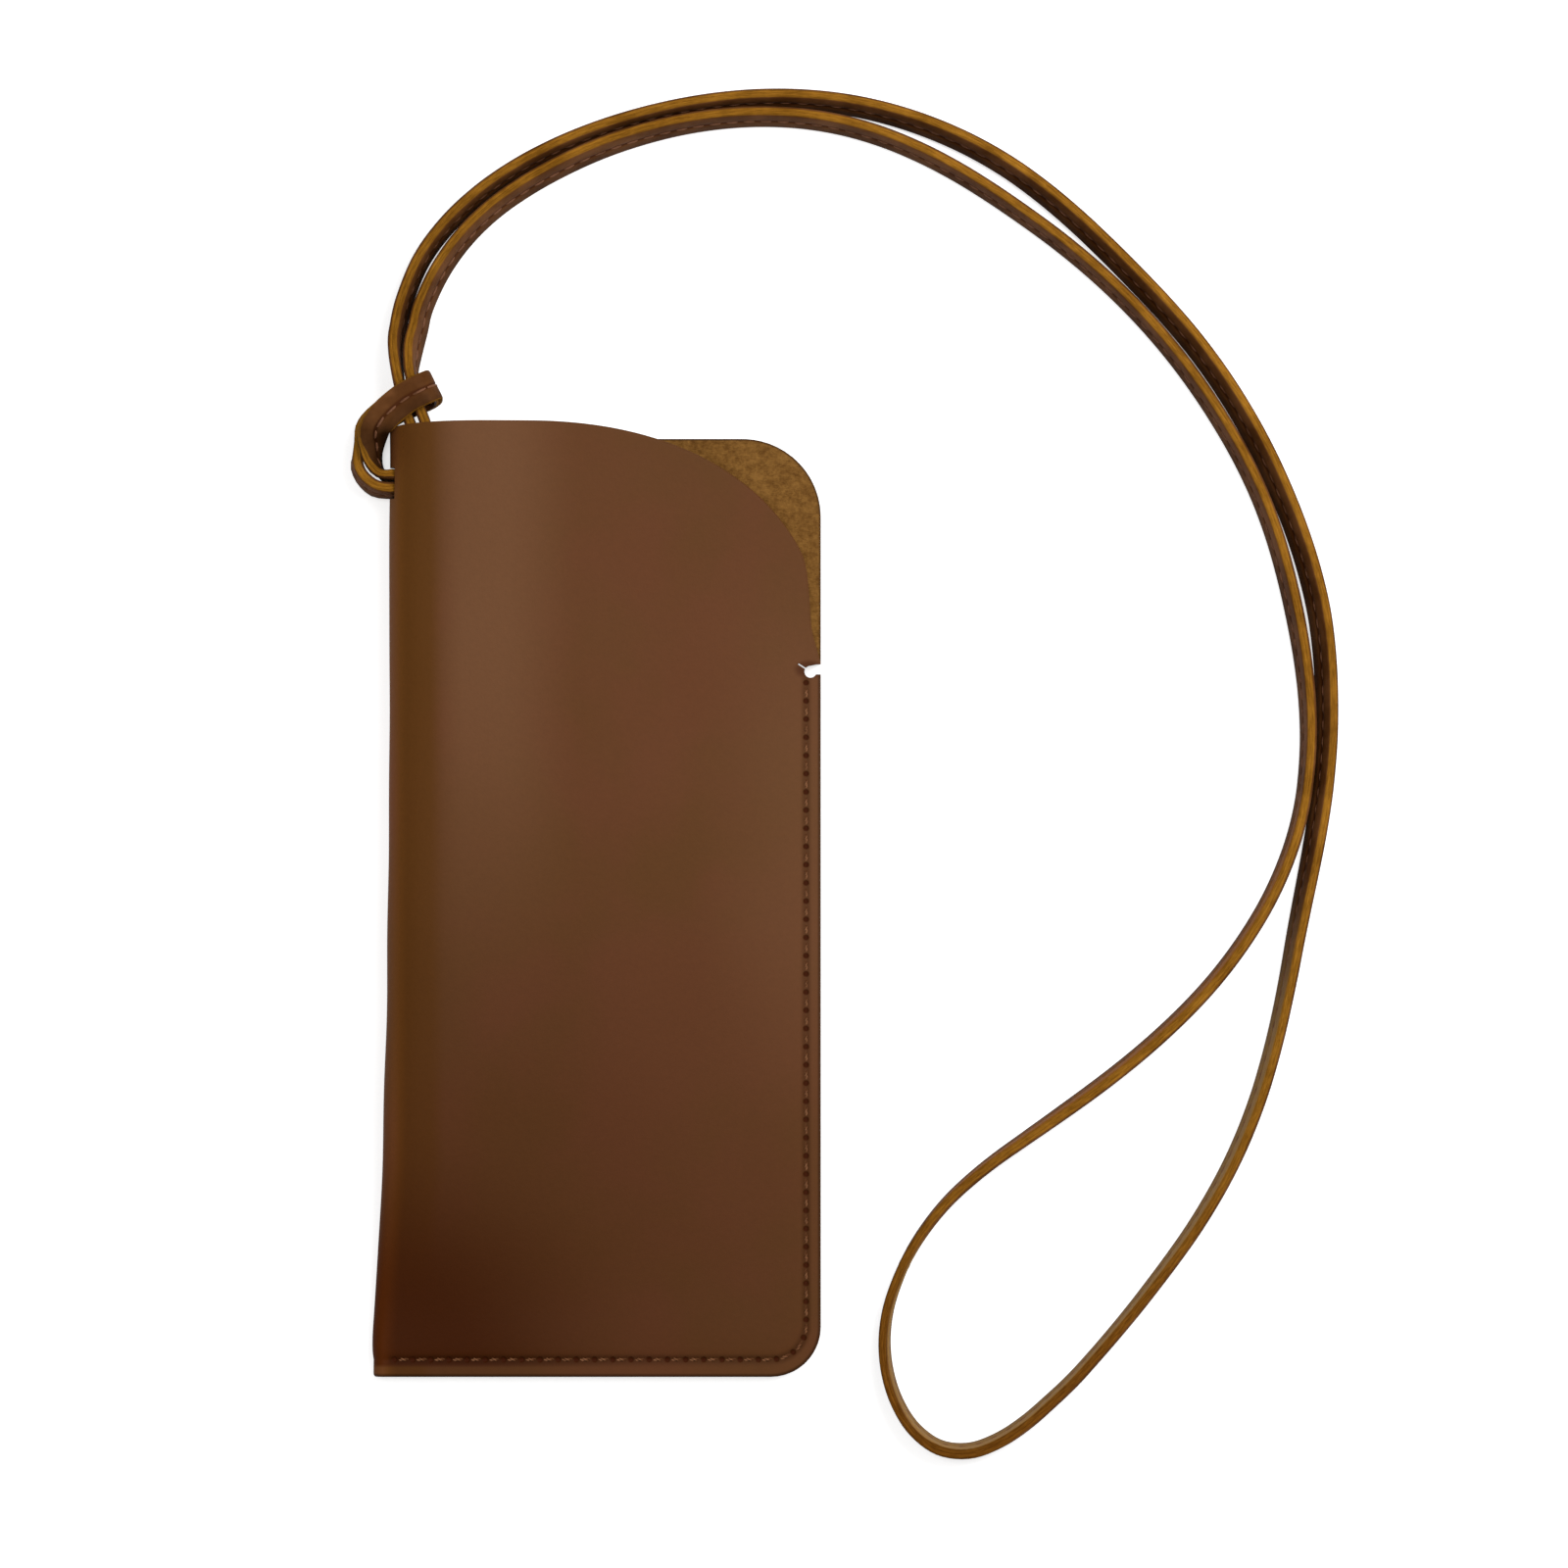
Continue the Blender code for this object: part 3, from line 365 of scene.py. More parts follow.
def stitch_tree(sizes):
    """A tree with one named input for each size."""
    tree = bpy.data.node_groups.new("stitches", "GeometryNodeTree")
    face = tree.interface
    face.new_socket("Path", in_out="INPUT", socket_type="NodeSocketGeometry")
    for title, value in sizes.items():
        kind = "NodeSocketInt" if isinstance(value, int) else "NodeSocketFloat"
        face.new_socket(title, in_out="INPUT", socket_type=kind).default_value = value
    face.new_socket("Yarn", in_out="INPUT", socket_type="NodeSocketMaterial")
    face.new_socket("Stitches", in_out="OUTPUT", socket_type="NodeSocketGeometry")
    given = tree.nodes.new("NodeGroupInput").outputs

    def node(kind, inputs=None, **settings):
        return add_node(tree, kind, inputs, **settings)

    def times(a, b):
        return node("ShaderNodeMath", {0: a, 1: b}, operation="MULTIPLY")

    def spot(x, z):
        return node("ShaderNodeCombineXYZ", {"X": x, "Z": z})

    # one stitch: an arc along X, high in the middle and deep at both ends
    half, deep = times(given["Stitch length"], 0.5), times(given["Dive"], -1.0)
    inset, top = times(half, HANDLE_OUT), times(given["Rise"], HANDLE_UP)
    shape = {
        "Resolution": given["Steps"],
        "Start": spot(times(half, -1.0), deep),
        "Start Handle": spot(times(inset, -1.0), top),
        "End Handle": spot(inset, top),
        "End": spot(half, deep),
    }
    arc = node("GeometryNodeCurvePrimitiveBezierSegment", shape, mode="POSITION")
    turn = times(times(node("GeometryNodeSplineParameter"), given["Twist turns"]), math.tau)
    twisted = node("GeometryNodeSetCurveTilt", {"Curve": arc, "Tilt": turn})

    # the yarn's section: as many round plies as asked, side by side
    circle = "GeometryNodeCurvePrimitiveCircle"
    ply = node(circle, {"Resolution": given["Sides"], "Radius": given["Yarn radius"]})
    seats = node(circle, {"Resolution": 8, "Radius": times(given["Yarn radius"], PLY_SEAT)})
    spots = node("GeometryNodeCurveToPoints", {"Curve": seats, "Count": given["Ply count"]}, mode="COUNT")
    plies = node("GeometryNodeInstanceOnPoints", {"Points": spots, "Instance": ply})
    profile = node("GeometryNodeRealizeInstances", {0: plies})
    tube = {"Curve": twisted, "Profile Curve": profile, "Fill Caps": True}
    stitch = node("GeometryNodeCurveToMesh", tube)

    # the path: equal steps, each turned to the path and to the way out of the surface
    curve = node("GeometryNodeMeshToCurve", {0: given["Path"]})
    steps = node("GeometryNodeResampleCurve", {"Curve": curve, "Length": given["Pitch"]}, mode="LENGTH")
    way_out = node("GeometryNodeInputNamedAttribute", {"Name": "way_out"}, data_type="FLOAT_VECTOR")
    ways = {"Primary Axis": way_out, "Secondary Axis": node("GeometryNodeInputTangent")}
    turned = node("FunctionNodeAxesToRotation", ways, primary_axis="Z", secondary_axis="X")
    copies = node("GeometryNodeInstanceOnPoints", {"Points": steps, "Instance": stitch, "Rotation": turned})
    real = node("GeometryNodeRealizeInstances", {0: copies})
    smooth = node("GeometryNodeSetShadeSmooth", {"Geometry": real})
    coloured = node("GeometryNodeSetMaterial", {"Geometry": smooth, "Material": given["Yarn"]})
    tree.links.new(coloured, tree.nodes.new("NodeGroupOutput").inputs[0])
    return tree


STITCHES = stitch_tree(STRAP_SEWING)
print("stitch tree with", len(STITCHES.nodes), "nodes")


# %% Run the tree along a path
def finished_mesh(piece):
    """The plain mesh that an object's modifiers make."""
    done = piece.evaluated_get(bpy.context.evaluated_depsgraph_get())
    return bpy.data.meshes.new_from_object(done)


def sew(name, path, way_out, yarn, sizes):
    """Stitches along a path as a plain mesh."""
    line = bpy.data.meshes.new(name + "_path")
    line.from_pydata([tuple(p) for p in path], [(i, i + 1) for i in range(len(path) - 1)], [])
    layer = line.attributes.new("way_out", "FLOAT_VECTOR", "POINT")
    layer.data.foreach_set("vector", np.asarray(way_out, np.float32).ravel())
    guide = add(name + "_path", line)
    change = guide.modifiers.new("stitches", "NODES")
    change.node_group = STITCHES
    inputs = {**sizes, "Yarn": yarn}
    for item in STITCHES.interface.items_tree:
        if item.in_out == "INPUT" and item.name in inputs:
            change[item.identifier] = inputs[item.name]
    mesh = finished_mesh(guide)
    mesh.name = name
    bpy.data.objects.remove(guide, do_unlink=True)
    return add(name, mesh)


strap_yarn = bpy.data.materials.new("strap_yarn")
for side, name in ((1, "strap_stitches_front"), (-1, "strap_stitches_back")):
    way = face_way * side
    row = sew(name, centre + way * PRESSED * MM, way, strap_yarn, STRAP_SEWING)
    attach(row, "case")
    print(name, len(row.data.polygons), "faces")

# %% [markdown]
# ## The sleeve's shape
# The sleeve is one blank folded at the left. Pressed flat at the foot, its spine opens
# upwards into a round, and the front panel slopes from there to the sewn right edge. All
# of it follows from a few sizes, in mm. The solids were made from the same ones, but for a
# mouth that is a little fuller here.

# %% Sizes and the opening spine
HALF_WIDTH, HALF_HEIGHT = 42.25, 90.15
FOLD = 1.95  # half the thickness of the pressed fold
SPINE_DRAW_IN, OPENING_REACH, SPINE_Z = 3.35, 31.8, 5.9
UNDER_REACH, UNDER_HANDLE, LOWER_HANDLE, UPPER_HANDLE = 4.5, 2.5, 3.2, 5.6
CREST_REACH, CREST_Z, CREST_HANDLE = 20.0, 11.5, 14.0
BACK_DROP, FOOT_RADIUS, BACK_RADIUS = 3.2, 9.5, 14.8
MOUTH_STRAIGHT, MOUTH_DROP = 6.35, 41.5
LIP_TRIM = [  # the lip's edge: mm in from the side, mm above the notch
    (-0.2, 0.6), (0.85, 4.2), (1.75, 7.9), (2.15, 13.6), (2.53, 17.4), (3.1, 20.6), (3.95, 22.7),
]
MOUTH_FULLNESS = 2.19  # of the mouth's curve, where 2 is an ellipse
SEAM_INSET, FOOT_SEAM = 2.8, 3.3
ROUND = 4 / 3 * (math.sqrt(2) - 1)  # the handles of a curve that is nearly a quarter circle


def mix(a, b, share):
    return a + (b - a) * share


def opening(y):
    """How far the spine stands open: 0 where it is pressed flat, towards 1 at the mouth."""
    above = np.maximum(0, y + HALF_HEIGHT - FOOT_SEAM)
    return above**2 / (above**2 + OPENING_REACH**2)


def spine_x(y):
    return -HALF_WIDTH + SPINE_DRAW_IN * opening(y)


def crest(y):
    """x and z of the line where the spine's round meets the front panel."""
    return spine_x(y) + mix(FOLD, CREST_REACH, opening(y)), mix(2 * FOLD, CREST_Z, opening(y))


def front_z(x, y):
    crest_x, crest_z = crest(y)
    return 2 * FOLD + (crest_z - 2 * FOLD) * (HALF_WIDTH - x) / (HALF_WIDTH - crest_x)


def bezier(a, b, c, d, t):
    return a * (1 - t) ** 3 + 3 * b * t * (1 - t) ** 2 + 3 * c * t * t * (1 - t) + d * t**3


def spine_point(y, turn):
    """x and z on the spine's round: turn 0 to 1 is its lower half, 1 to 2 its upper half."""
    share, left_x, tight = opening(y), spine_x(y), FOLD * ROUND
    crest_x, crest_z = crest(y)
    under_x, middle_z = left_x + mix(FOLD, UNDER_REACH, share), mix(FOLD, SPINE_Z, share)
    fall, back = (crest_z - 2 * FOLD) / (HALF_WIDTH - crest_x), mix(tight, CREST_HANDLE, share)
    if turn <= 1:
        x = bezier(under_x, under_x - mix(tight, UNDER_HANDLE, share), left_x, left_x, turn)
        low = middle_z - mix(tight, LOWER_HANDLE, share)
        return x, bezier(0, 0, low, middle_z, turn)
    high = middle_z + mix(tight, UPPER_HANDLE, share)
    x = bezier(left_x, left_x, crest_x - back, crest_x, turn - 1)
    return x, bezier(middle_z, high, crest_z + back * fall, crest_z, turn - 1)


mouth_x = float(crest(HALF_HEIGHT)[0]) + MOUTH_STRAIGHT
MOUTH_WIDTH = HALF_WIDTH - mouth_x
print("the mouth's curve starts at x", round(mouth_x, 2), "and is", round(MOUTH_WIDTH, 1), "mm wide")


# %% [markdown]
# ## Where the seam and the edges are
# The seam runs down the right side, round the corner and along the foot. Grooves, holes and
# colours all follow it, so it pays to have one function for how far a point is from the
# seam and how far along. A rounded box's signed distance gives the first.

# %% Distances to the seam and to the outline
STITCH = 3.45  # mm from one stitch of the seam to the next, before it is fitted
NOTCH_Y, SEAM_START, SEAM_END = HALF_HEIGHT - 46.75, 2.55, 4.0
SEAM_RADIUS = FOOT_RADIUS - (SEAM_INSET + FOOT_SEAM) / 2
SEAM_X, SEAM_Y = HALF_WIDTH - SEAM_INSET, FOOT_SEAM - HALF_HEIGHT
SEAM_TOP = NOTCH_Y - SEAM_START
SEAM_SIDE = SEAM_TOP - SEAM_Y - SEAM_RADIUS
SEAM_BEND = SEAM_RADIUS * math.pi / 2
SEAM_LENGTH = SEAM_SIDE + SEAM_BEND + SEAM_X - SEAM_RADIUS + HALF_WIDTH - SEAM_END
STITCH_COUNT = round(SEAM_LENGTH / STITCH)
PITCH = SEAM_LENGTH / STITCH_COUNT
TRIM = through([(HALF_WIDTH - inset, NOTCH_Y + above) for inset, above in LIP_TRIM], CURVE_STEPS)


def inside_of(x, y, right, foot, radius):
    """How far a point is inside a right edge, a foot edge and the round between them."""
    across, down = x - (right - radius), (foot + radius) - y
    apart = np.hypot(np.maximum(across, 0), np.maximum(down, 0))
    return radius - apart - np.minimum(np.maximum(across, down), 0)


def seam_offset(x, y):
    return inside_of(x, y, SEAM_X, SEAM_Y, SEAM_RADIUS)


def seam_distance(x, y):
    """How far along the seam a point lies, from the seam's top."""
    across, down = x - (SEAM_X - SEAM_RADIUS), (SEAM_Y + SEAM_RADIUS) - y
    turned = SEAM_SIDE + SEAM_RADIUS * np.arctan2(np.maximum(down, 0), np.maximum(across, 1e-9))
    foot_run = SEAM_SIDE + SEAM_BEND - across
    return np.where(down <= 0, SEAM_TOP - y, np.where(across <= 0, foot_run, turned))


def seam_point(distance):
    if distance < SEAM_SIDE:
        return SEAM_X, SEAM_TOP - distance
    angle = min(distance - SEAM_SIDE, SEAM_BEND) / SEAM_RADIUS
    past = max(0.0, distance - SEAM_SIDE - SEAM_BEND)
    x = SEAM_X - SEAM_RADIUS * (1 - math.cos(angle)) - past
    return x, SEAM_Y + SEAM_RADIUS * (1 - math.sin(angle))


def front_edge(x, y):
    """How far a point is inside the front's outline: mouth curve, trimmed lip, side and foot."""
    dx, dy = np.maximum(x - mouth_x, 0), np.maximum(y - (HALF_HEIGHT - MOUTH_DROP), 1e-6)
    across, up = dx / MOUTH_WIDTH, dy / MOUTH_DROP
    reach = (across**MOUTH_FULLNESS + up**MOUTH_FULLNESS) ** (1 / MOUTH_FULLNESS)
    power = MOUTH_FULLNESS - 1
    steep = np.hypot(across**power / MOUTH_WIDTH, up**power / MOUTH_DROP) / reach**power
    trimmed = np.interp(y, TRIM[:, 1], TRIM[:, 0], left=HALF_WIDTH, right=HALF_WIDTH) - x
    foot = inside_of(x, y, HALF_WIDTH, -HALF_HEIGHT, FOOT_RADIUS)
    return np.minimum(np.minimum((1 - reach) / steep, trimmed), foot)


def back_edge(x, y):
    """The same for the back, which has a round corner at its top too."""
    top = inside_of(x, -y, HALF_WIDTH, BACK_DROP - HALF_HEIGHT, BACK_RADIUS)
    return np.minimum(top, inside_of(x, y, HALF_WIDTH, -HALF_HEIGHT, FOOT_RADIUS))


print(STITCH_COUNT, "stitches of", round(PITCH, 3), "mm")


# %% [markdown]
# ## Leather as a grid with a thickness
# A sheet is a grid of its outer face, and the same grid set inwards for its other face, with
# a rim between. The columns crowd together at the sewn edge and the rows at the foot, because
# the seam's pressed line is only about a millimetre wide. Rims get their own finish.

# %% Grid of the folded blank
TOP_ROWS = [179.3, 179.6, 179.85, 180.05, 180.3]  # mm from the foot
FOOT_ROWS, EVEN_ROWS = np.arange(0, 6, 0.25), np.linspace(6, 179, 117)  # mm from the foot, too
ROWS = np.concatenate([FOOT_ROWS, EVEN_ROWS, TOP_ROWS]) / TOP_ROWS[-1]
EDGE_COLUMNS = np.array([0, 0.06, 0.15, 0.28, 0.45, 0.65, 0.85, *np.arange(1.05, 5.1, 0.25)])
EVEN_FROM = 5.4  # mm from the sewn edge, where the even columns start
BACK_TURN = 36  # mm from it, past which the back's columns follow the spine
SPINE_TURNS = np.concatenate([np.linspace(0, 1, 13), np.linspace(1, 2, 17)[1:]])
LOWER_SHARE, UPPER_SHARE = 5, 6  # of the easing from the back's top edge to the front's


def corner_rise(inset, radius):
    """How much higher the outline is than the foot, at an inset from the side."""
    reach = np.clip(1 - inset / radius, 0, 1)
    return radius * (1 - np.sqrt(1 - reach**2))


def beside_edge(inset, top):
    """x and y of a column at an inset from the side, from the foot's outline to a top edge."""
    y = mix(corner_rise(inset, FOOT_RADIUS) - HALF_HEIGHT, top, ROWS)
    return np.full_like(y, HALF_WIDTH - inset), y


def front_columns():
    """Columns on the front panel's outer face, from under the spine to the sewn edge."""
    for turn in SPINE_TURNS:
        ease = LOWER_SHARE * turn if turn <= 1 else LOWER_SHARE + UPPER_SHARE * (turn - 1)
        ease /= LOWER_SHARE + UPPER_SHARE
        drop = BACK_DROP * (1 - ease * ease * (3 - 2 * ease))
        y = mix(-HALF_HEIGHT, HALF_HEIGHT - drop, ROWS)
        x, z = spine_point(y, turn)
        yield x, y, z
    for part in np.linspace(0, 1, 6)[1:]:
        y = mix(-HALF_HEIGHT, HALF_HEIGHT, ROWS)
        x = mix(crest(y)[0], mouth_x, part)
        yield x, y, front_z(x, y)
    insets = np.concatenate([EDGE_COLUMNS, np.linspace(EVEN_FROM, MOUTH_WIDTH, 38)])[::-1]
    for inset in insets[1:]:
        reach = 1 - inset / MOUTH_WIDTH
        fall = MOUTH_DROP * (1 - (1 - reach**MOUTH_FULLNESS) ** (1 / MOUTH_FULLNESS))
        x, y = beside_edge(inset, HALF_HEIGHT - fall)
        yield x, y, front_z(x, y)


def back_columns():
    """Columns on the back panel's outer face, from the sewn edge to under the spine."""
    for inset in np.concatenate([EDGE_COLUMNS, np.linspace(EVEN_FROM, BACK_TURN, 22)]):
        x, y = beside_edge(inset, HALF_HEIGHT - BACK_DROP - corner_rise(inset, BACK_RADIUS))
        yield x, y, 0 * y
    y = mix(-HALF_HEIGHT, HALF_HEIGHT - BACK_DROP, ROWS)
    for part in np.linspace(0, 1, 24)[1:]:
        yield mix(HALF_WIDTH - BACK_TURN, spine_point(y, 0)[0], part), y, 0 * y


def grid_normals(grid):
    return unit(np.cross(np.gradient(grid, axis=1), np.gradient(grid, axis=0)))


FRONT, BACK = (
    np.stack([np.stack(column, axis=1) for column in columns], axis=1)
    for columns in (front_columns(), back_columns())
)
FRONT_OUT, BACK_OUT = grid_normals(FRONT), grid_normals(BACK)
print("front grid", FRONT.shape[:2], "back grid", BACK.shape[:2])

# %% [markdown]
# ## What makes it soft
# Sewn leather isn't flat: the seam presses a line into it, the sheet swells a little beside
# that line, cut edges are rounded by the paint, and the panel is slightly uneven from being
# handled. Each is a small height in mm, added along the way out of the surface.

# %% Swell, pressed seam and rounded edges
SKIN, BACKING = 1.15, 0.79  # mm of leather, and of the suede and what parts them
GROOVE_DEPTH, GROOVE_WIDTH, GROOVE_FADE = 0.28, 0.6, 0.9
GROOVE_PAST = (1.2, 1.0)  # mm by which it goes past the seam's two ends
SWELL_HEIGHT, SWELL_START, SWELL_REACH = 0.5, 2.2, 20
SWELL_END, SWELL_FADE = 12, 24  # mm above the seam's top where it ends, and over which it fades
EDGE_ROUND, EDGE_DROP = 0.5, 0.3
WAVE_HEIGHT, CALM_BORDER = 0.045, 12
waves = np.random.default_rng(11)
angles, wave_lengths, phases = (waves.uniform(low, high, 9) for low, high in ((0, 3.14), (16, 46), (0, 6.28)))
WAVES = [(angle, 2 * math.pi / length, phase) for angle, length, phase in zip(angles, wave_lengths, phases)]


def sewn(x, y):
    """1 beside the seam's stitches, 0 past its two ends."""
    distance = seam_distance(x, y)
    start = np.clip((distance + GROOVE_PAST[0]) / GROOVE_FADE, 0, 1)
    return start * np.clip((SEAM_LENGTH + GROOVE_PAST[1] - distance) / GROOVE_FADE, 0, 1)


def groove(x, y):
    return GROOVE_DEPTH * np.exp(-((seam_offset(x, y) / GROOVE_WIDTH) ** 2)) * sewn(x, y)


def swell(x, y):
    inward = np.maximum(seam_offset(x, y), 0)
    fade = np.clip((SEAM_TOP + SWELL_END - y) / SWELL_FADE, 0, 1)
    return SWELL_HEIGHT * (1 - np.exp(-inward / SWELL_START)) * np.exp(-inward / SWELL_REACH) * fade


def unevenness(x, y):
    return WAVE_HEIGHT * sum(np.sin((x * math.cos(a) + y * math.sin(a)) * k + p) for a, k, p in WAVES)


def rounding(edge):
    return EDGE_DROP * np.clip(1 - edge / EDGE_ROUND, 0, 1) ** 2


x, y = FRONT[..., 0], FRONT[..., 1]
calm = np.clip(front_edge(x, y) / CALM_BORDER, 0, 1)
height = swell(x, y) + unevenness(x, y) * calm - groove(x, y) - rounding(front_edge(x, y))
FRONT_FACE = FRONT + FRONT_OUT * height[..., None]
x, y = BACK[..., 0], BACK[..., 1]
height = -groove(x, y) - rounding(back_edge(x, y))
BACK_FACE = BACK + BACK_OUT * height[..., None]
print("front rises", round(float((FRONT_FACE - FRONT)[..., 2].max()), 2), "mm at most")


# %% Sheet between two grids
def sheet_faces(rows, columns):
    """Faces of a closed sheet and each face's finish: 0 on its faces, 1 on its rims."""
    number = np.arange(rows * columns).reshape(rows, columns)
    under = number + rows * columns

    def band(a, b, c, d):
        return np.stack([a, b, c, d], axis=-1).reshape(-1, 4)

    outer_side = band(number[:-1, :-1], number[:-1, 1:], number[1:, 1:], number[1:, :-1])
    inner_side = band(under[:-1, :-1], under[1:, :-1], under[1:, 1:], under[:-1, 1:])
    foot = band(under[0, :-1], under[0, 1:], number[0, 1:], number[0, :-1])
    top = band(number[-1, :-1], number[-1, 1:], under[-1, 1:], under[-1, :-1])
    last = band(number[:-1, -1], under[:-1, -1], under[1:, -1], number[1:, -1])
    first = band(under[:-1, 0], number[:-1, 0], number[1:, 0], under[1:, 0])
    faces = [outer_side, inner_side, foot, top, last, first]
    finish = np.concatenate([np.full(len(part), index > 1) for index, part in enumerate(faces)])
    return np.vstack(faces).tolist(), finish.astype(int)


def sheet(name, outside, inside):
    faces, finish = sheet_faces(*outside.shape[:2])
    points = np.vstack([outside.reshape(-1, 3), inside.reshape(-1, 3)]) * MM
    return two_slots(new_object(name, points, faces), finish)


def two_slots(piece, finish):
    """Room for two finishes on a piece, and which of them each face takes."""
    for _ in range(2):
        piece.data.materials.append(None)
    piece.data.polygons.foreach_set("material_index", finish)
    return piece


SPLIT = 0.02  # mm between the two sheets' hidden faces
front_leather = sheet("front_leather", FRONT_FACE, FRONT - FRONT_OUT * SKIN)
front_suede = sheet("front_suede", FRONT - FRONT_OUT * (SKIN + SPLIT), FRONT - FRONT_OUT * (SKIN + BACKING))
back_leather = sheet("back_leather", BACK_FACE, BACK - BACK_OUT * SKIN)
back_suede = sheet("back_suede", BACK - BACK_OUT * (SKIN + SPLIT), BACK - BACK_OUT * (SKIN + BACKING))
print("front leather has", len(front_leather.data.polygons), "faces")

# %% [markdown]
# ## Cutting the notch and the slot
# The relief notch keeps the seam from tearing where the free lip starts. It is punched
# through both panels: a round eye, a throat to the edge and a short tail. The lanyard's
# slot is cut through the spine, and the lip's edge above the notch is trimmed. A Boolean
# with a simple prism is the direct way to do all three.

# %% Punches
PAST = 5  # mm by which a punch goes past an edge
UNDER, OVER = -5, 20  # mm, below and above both panels
THROAT = 0.95  # half the width at the edge
EYE_LOW, EYE_RADIUS = 0.45, 1.15
EYE = (HALF_WIDTH - 1.95, NOTCH_Y - EYE_LOW)
TAIL, TAIL_HALF = (HALF_WIDTH - 4.25, NOTCH_Y + 1.05), 0.15
SLOT_Y, SLOT_HALF, SLOT_LOW, SLOT_HIGH = HALF_HEIGHT - 11.8, 2.95, 2.05, 8.9
SLOT_REACH = 4.7  # mm inwards from the spine


def prism(outline, low, high):
    count = len(outline)
    points = [(x * MM, y * MM, z * MM) for z in (low, high) for x, y in outline]
    walls = [(i, (i + 1) % count, (i + 1) % count + count, i + count) for i in range(count)]
    made = new_object("punch", points, [list(range(count))[::-1], list(range(count, 2 * count)), *walls])
    return two_slots(made, [1] * len(made.data.polygons))


def notch_outline():
    """The eye's round, opened by the tail on its left and by the throat on its right."""
    to_tail = math.atan2(TAIL[1] - EYE[1], TAIL[0] - EYE[0])
    spread = math.asin(TAIL_HALF / EYE_RADIUS)
    off = (TAIL_HALF * math.sin(to_tail), -TAIL_HALF * math.cos(to_tail))
    lower_wall = math.tau - math.asin((THROAT - EYE_LOW) / EYE_RADIUS)

    def eye(start, end):
        turns = np.linspace(start, end, 13)
        return [(EYE[0] + EYE_RADIUS * math.cos(t), EYE[1] + EYE_RADIUS * math.sin(t)) for t in turns]

    low, high, end = NOTCH_Y - THROAT, NOTCH_Y + THROAT, HALF_WIDTH + PAST
    throat = [(end, low), (end, high), (EYE[0] + EYE_RADIUS, high)]
    tail = [(TAIL[0] + off[0], TAIL[1] + off[1]), (TAIL[0] - off[0], TAIL[1] - off[1])]
    return tail + eye(to_tail + spread, lower_wall) + throat + eye(math.pi / 2, to_tail - spread)


spine = float(spine_x(HALF_HEIGHT))
slot_low, slot_high = SLOT_Y - SLOT_HALF, SLOT_Y + SLOT_HALF
slot = [(spine - PAST, slot_low), (spine + SLOT_REACH, slot_low)]
slot += [(spine + SLOT_REACH, slot_high), (spine - PAST, slot_high)]
trimmed = [(HALF_WIDTH + PAST, TRIM[0, 1]), (HALF_WIDTH + PAST, TRIM[-1, 1]), *TRIM.tolist()[::-1]]
punches = {
    "notch": prism(notch_outline(), UNDER, OVER),
    "trim": prism(trimmed, FOLD, OVER),
    "slot": prism(slot, SLOT_LOW, SLOT_HIGH),
}


def punch(piece, *names):
    for name in names:
        change = piece.modifiers.new(name, "BOOLEAN")
        change.object = punches[name]
        change.solver = "EXACT"
    mesh, old = finished_mesh(piece), piece.data
    piece.modifiers.clear()
    piece.data = mesh
    bpy.data.meshes.remove(old)


for piece in (front_leather, front_suede):
    punch(piece, "notch", "trim", "slot")
for piece in (back_leather, back_suede):
    punch(piece, "notch")
for tool in punches.values():
    bpy.data.objects.remove(tool, do_unlink=True)
print("front leather now has", len(front_leather.data.polygons), "faces")


# %% Values for the finishes, worked out at each point
def give_values(piece, edge):
    places = np.empty(len(piece.data.vertices) * 3)
    piece.data.vertices.foreach_get("co", places)
    x, y = places[0::3] / MM, places[1::3] / MM
    values = {"seam_off": seam_offset(x, y), "seam_run": seam_distance(x, y), "edge_off": edge(x, y)}
    keep_values(piece.data, values)


for edge, sheets in ((front_edge, (front_leather, front_suede)), (back_edge, (back_leather, back_suede))):
    for piece in sheets:
        give_values(piece, edge)
        piece.data.shade_smooth()
        piece.data.set_sharp_from_angle(angle=math.radians(50))
print("each point knows how far it is from the seam and from its edge")

# %% [markdown]
# ## Following the joint
# The free lip bends along a line from the notch to the top edge. The solids are cut there
# and turn on a hinge. Real leather bends, so the front sheets are one piece each; they stay
# in place, the back sheets go with the case, and the solids they stand for are hidden.

# %% Bodies and stand-ins
for piece in (front_leather, front_suede):
    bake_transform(piece)
for piece in (back_leather, back_suede):
    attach(piece, "case")
for piece, node, finish in (
    (back_leather, "case_shell", "brown_grain_leather"),
    (back_suede, "case_lining", "ochre_suede"),
    (front_leather, "front_lip", "brown_grain_leather"),
    (front_suede, "lip_lining", "ochre_suede"),
):
    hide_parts(node)

# %% [markdown]
# ## Seam stitches
# The same tree sews the seam. The yarn is two plies twisted together, and each stitch dives
# into the needle holes at its ends. The lower thread lies in its own groove underneath.

# %% Sew the seam
SEAM_SEWING = {
    "Pitch": PITCH * MM * 0.99,  # a little less, so that rounding can't drop the last stitch
    "Stitch length": (PITCH - 1.25) * MM,
    "Yarn radius": 0.19 * MM,
    "Rise": 0.14 * MM,
    "Dive": 0.85 * MM,
    "Twist turns": 1.5,
    "Ply count": 2,
    "Sides": 8,
    "Steps": 14,
}
NEEDLE_SUNK, BOBBIN_LEVEL = 0.12, 0.52  # mm: below the front, and above the table
TILT_REACH = 0.5  # mm to each side, over which the front's tilt is taken
seam_yarn = bpy.data.materials.new("seam_yarn")
seam_places = np.array([seam_point(run) for run in np.linspace(PITCH / 2, SEAM_LENGTH - PITCH / 2, 400)])
seam_x, seam_y = seam_places.T
count = len(seam_places)
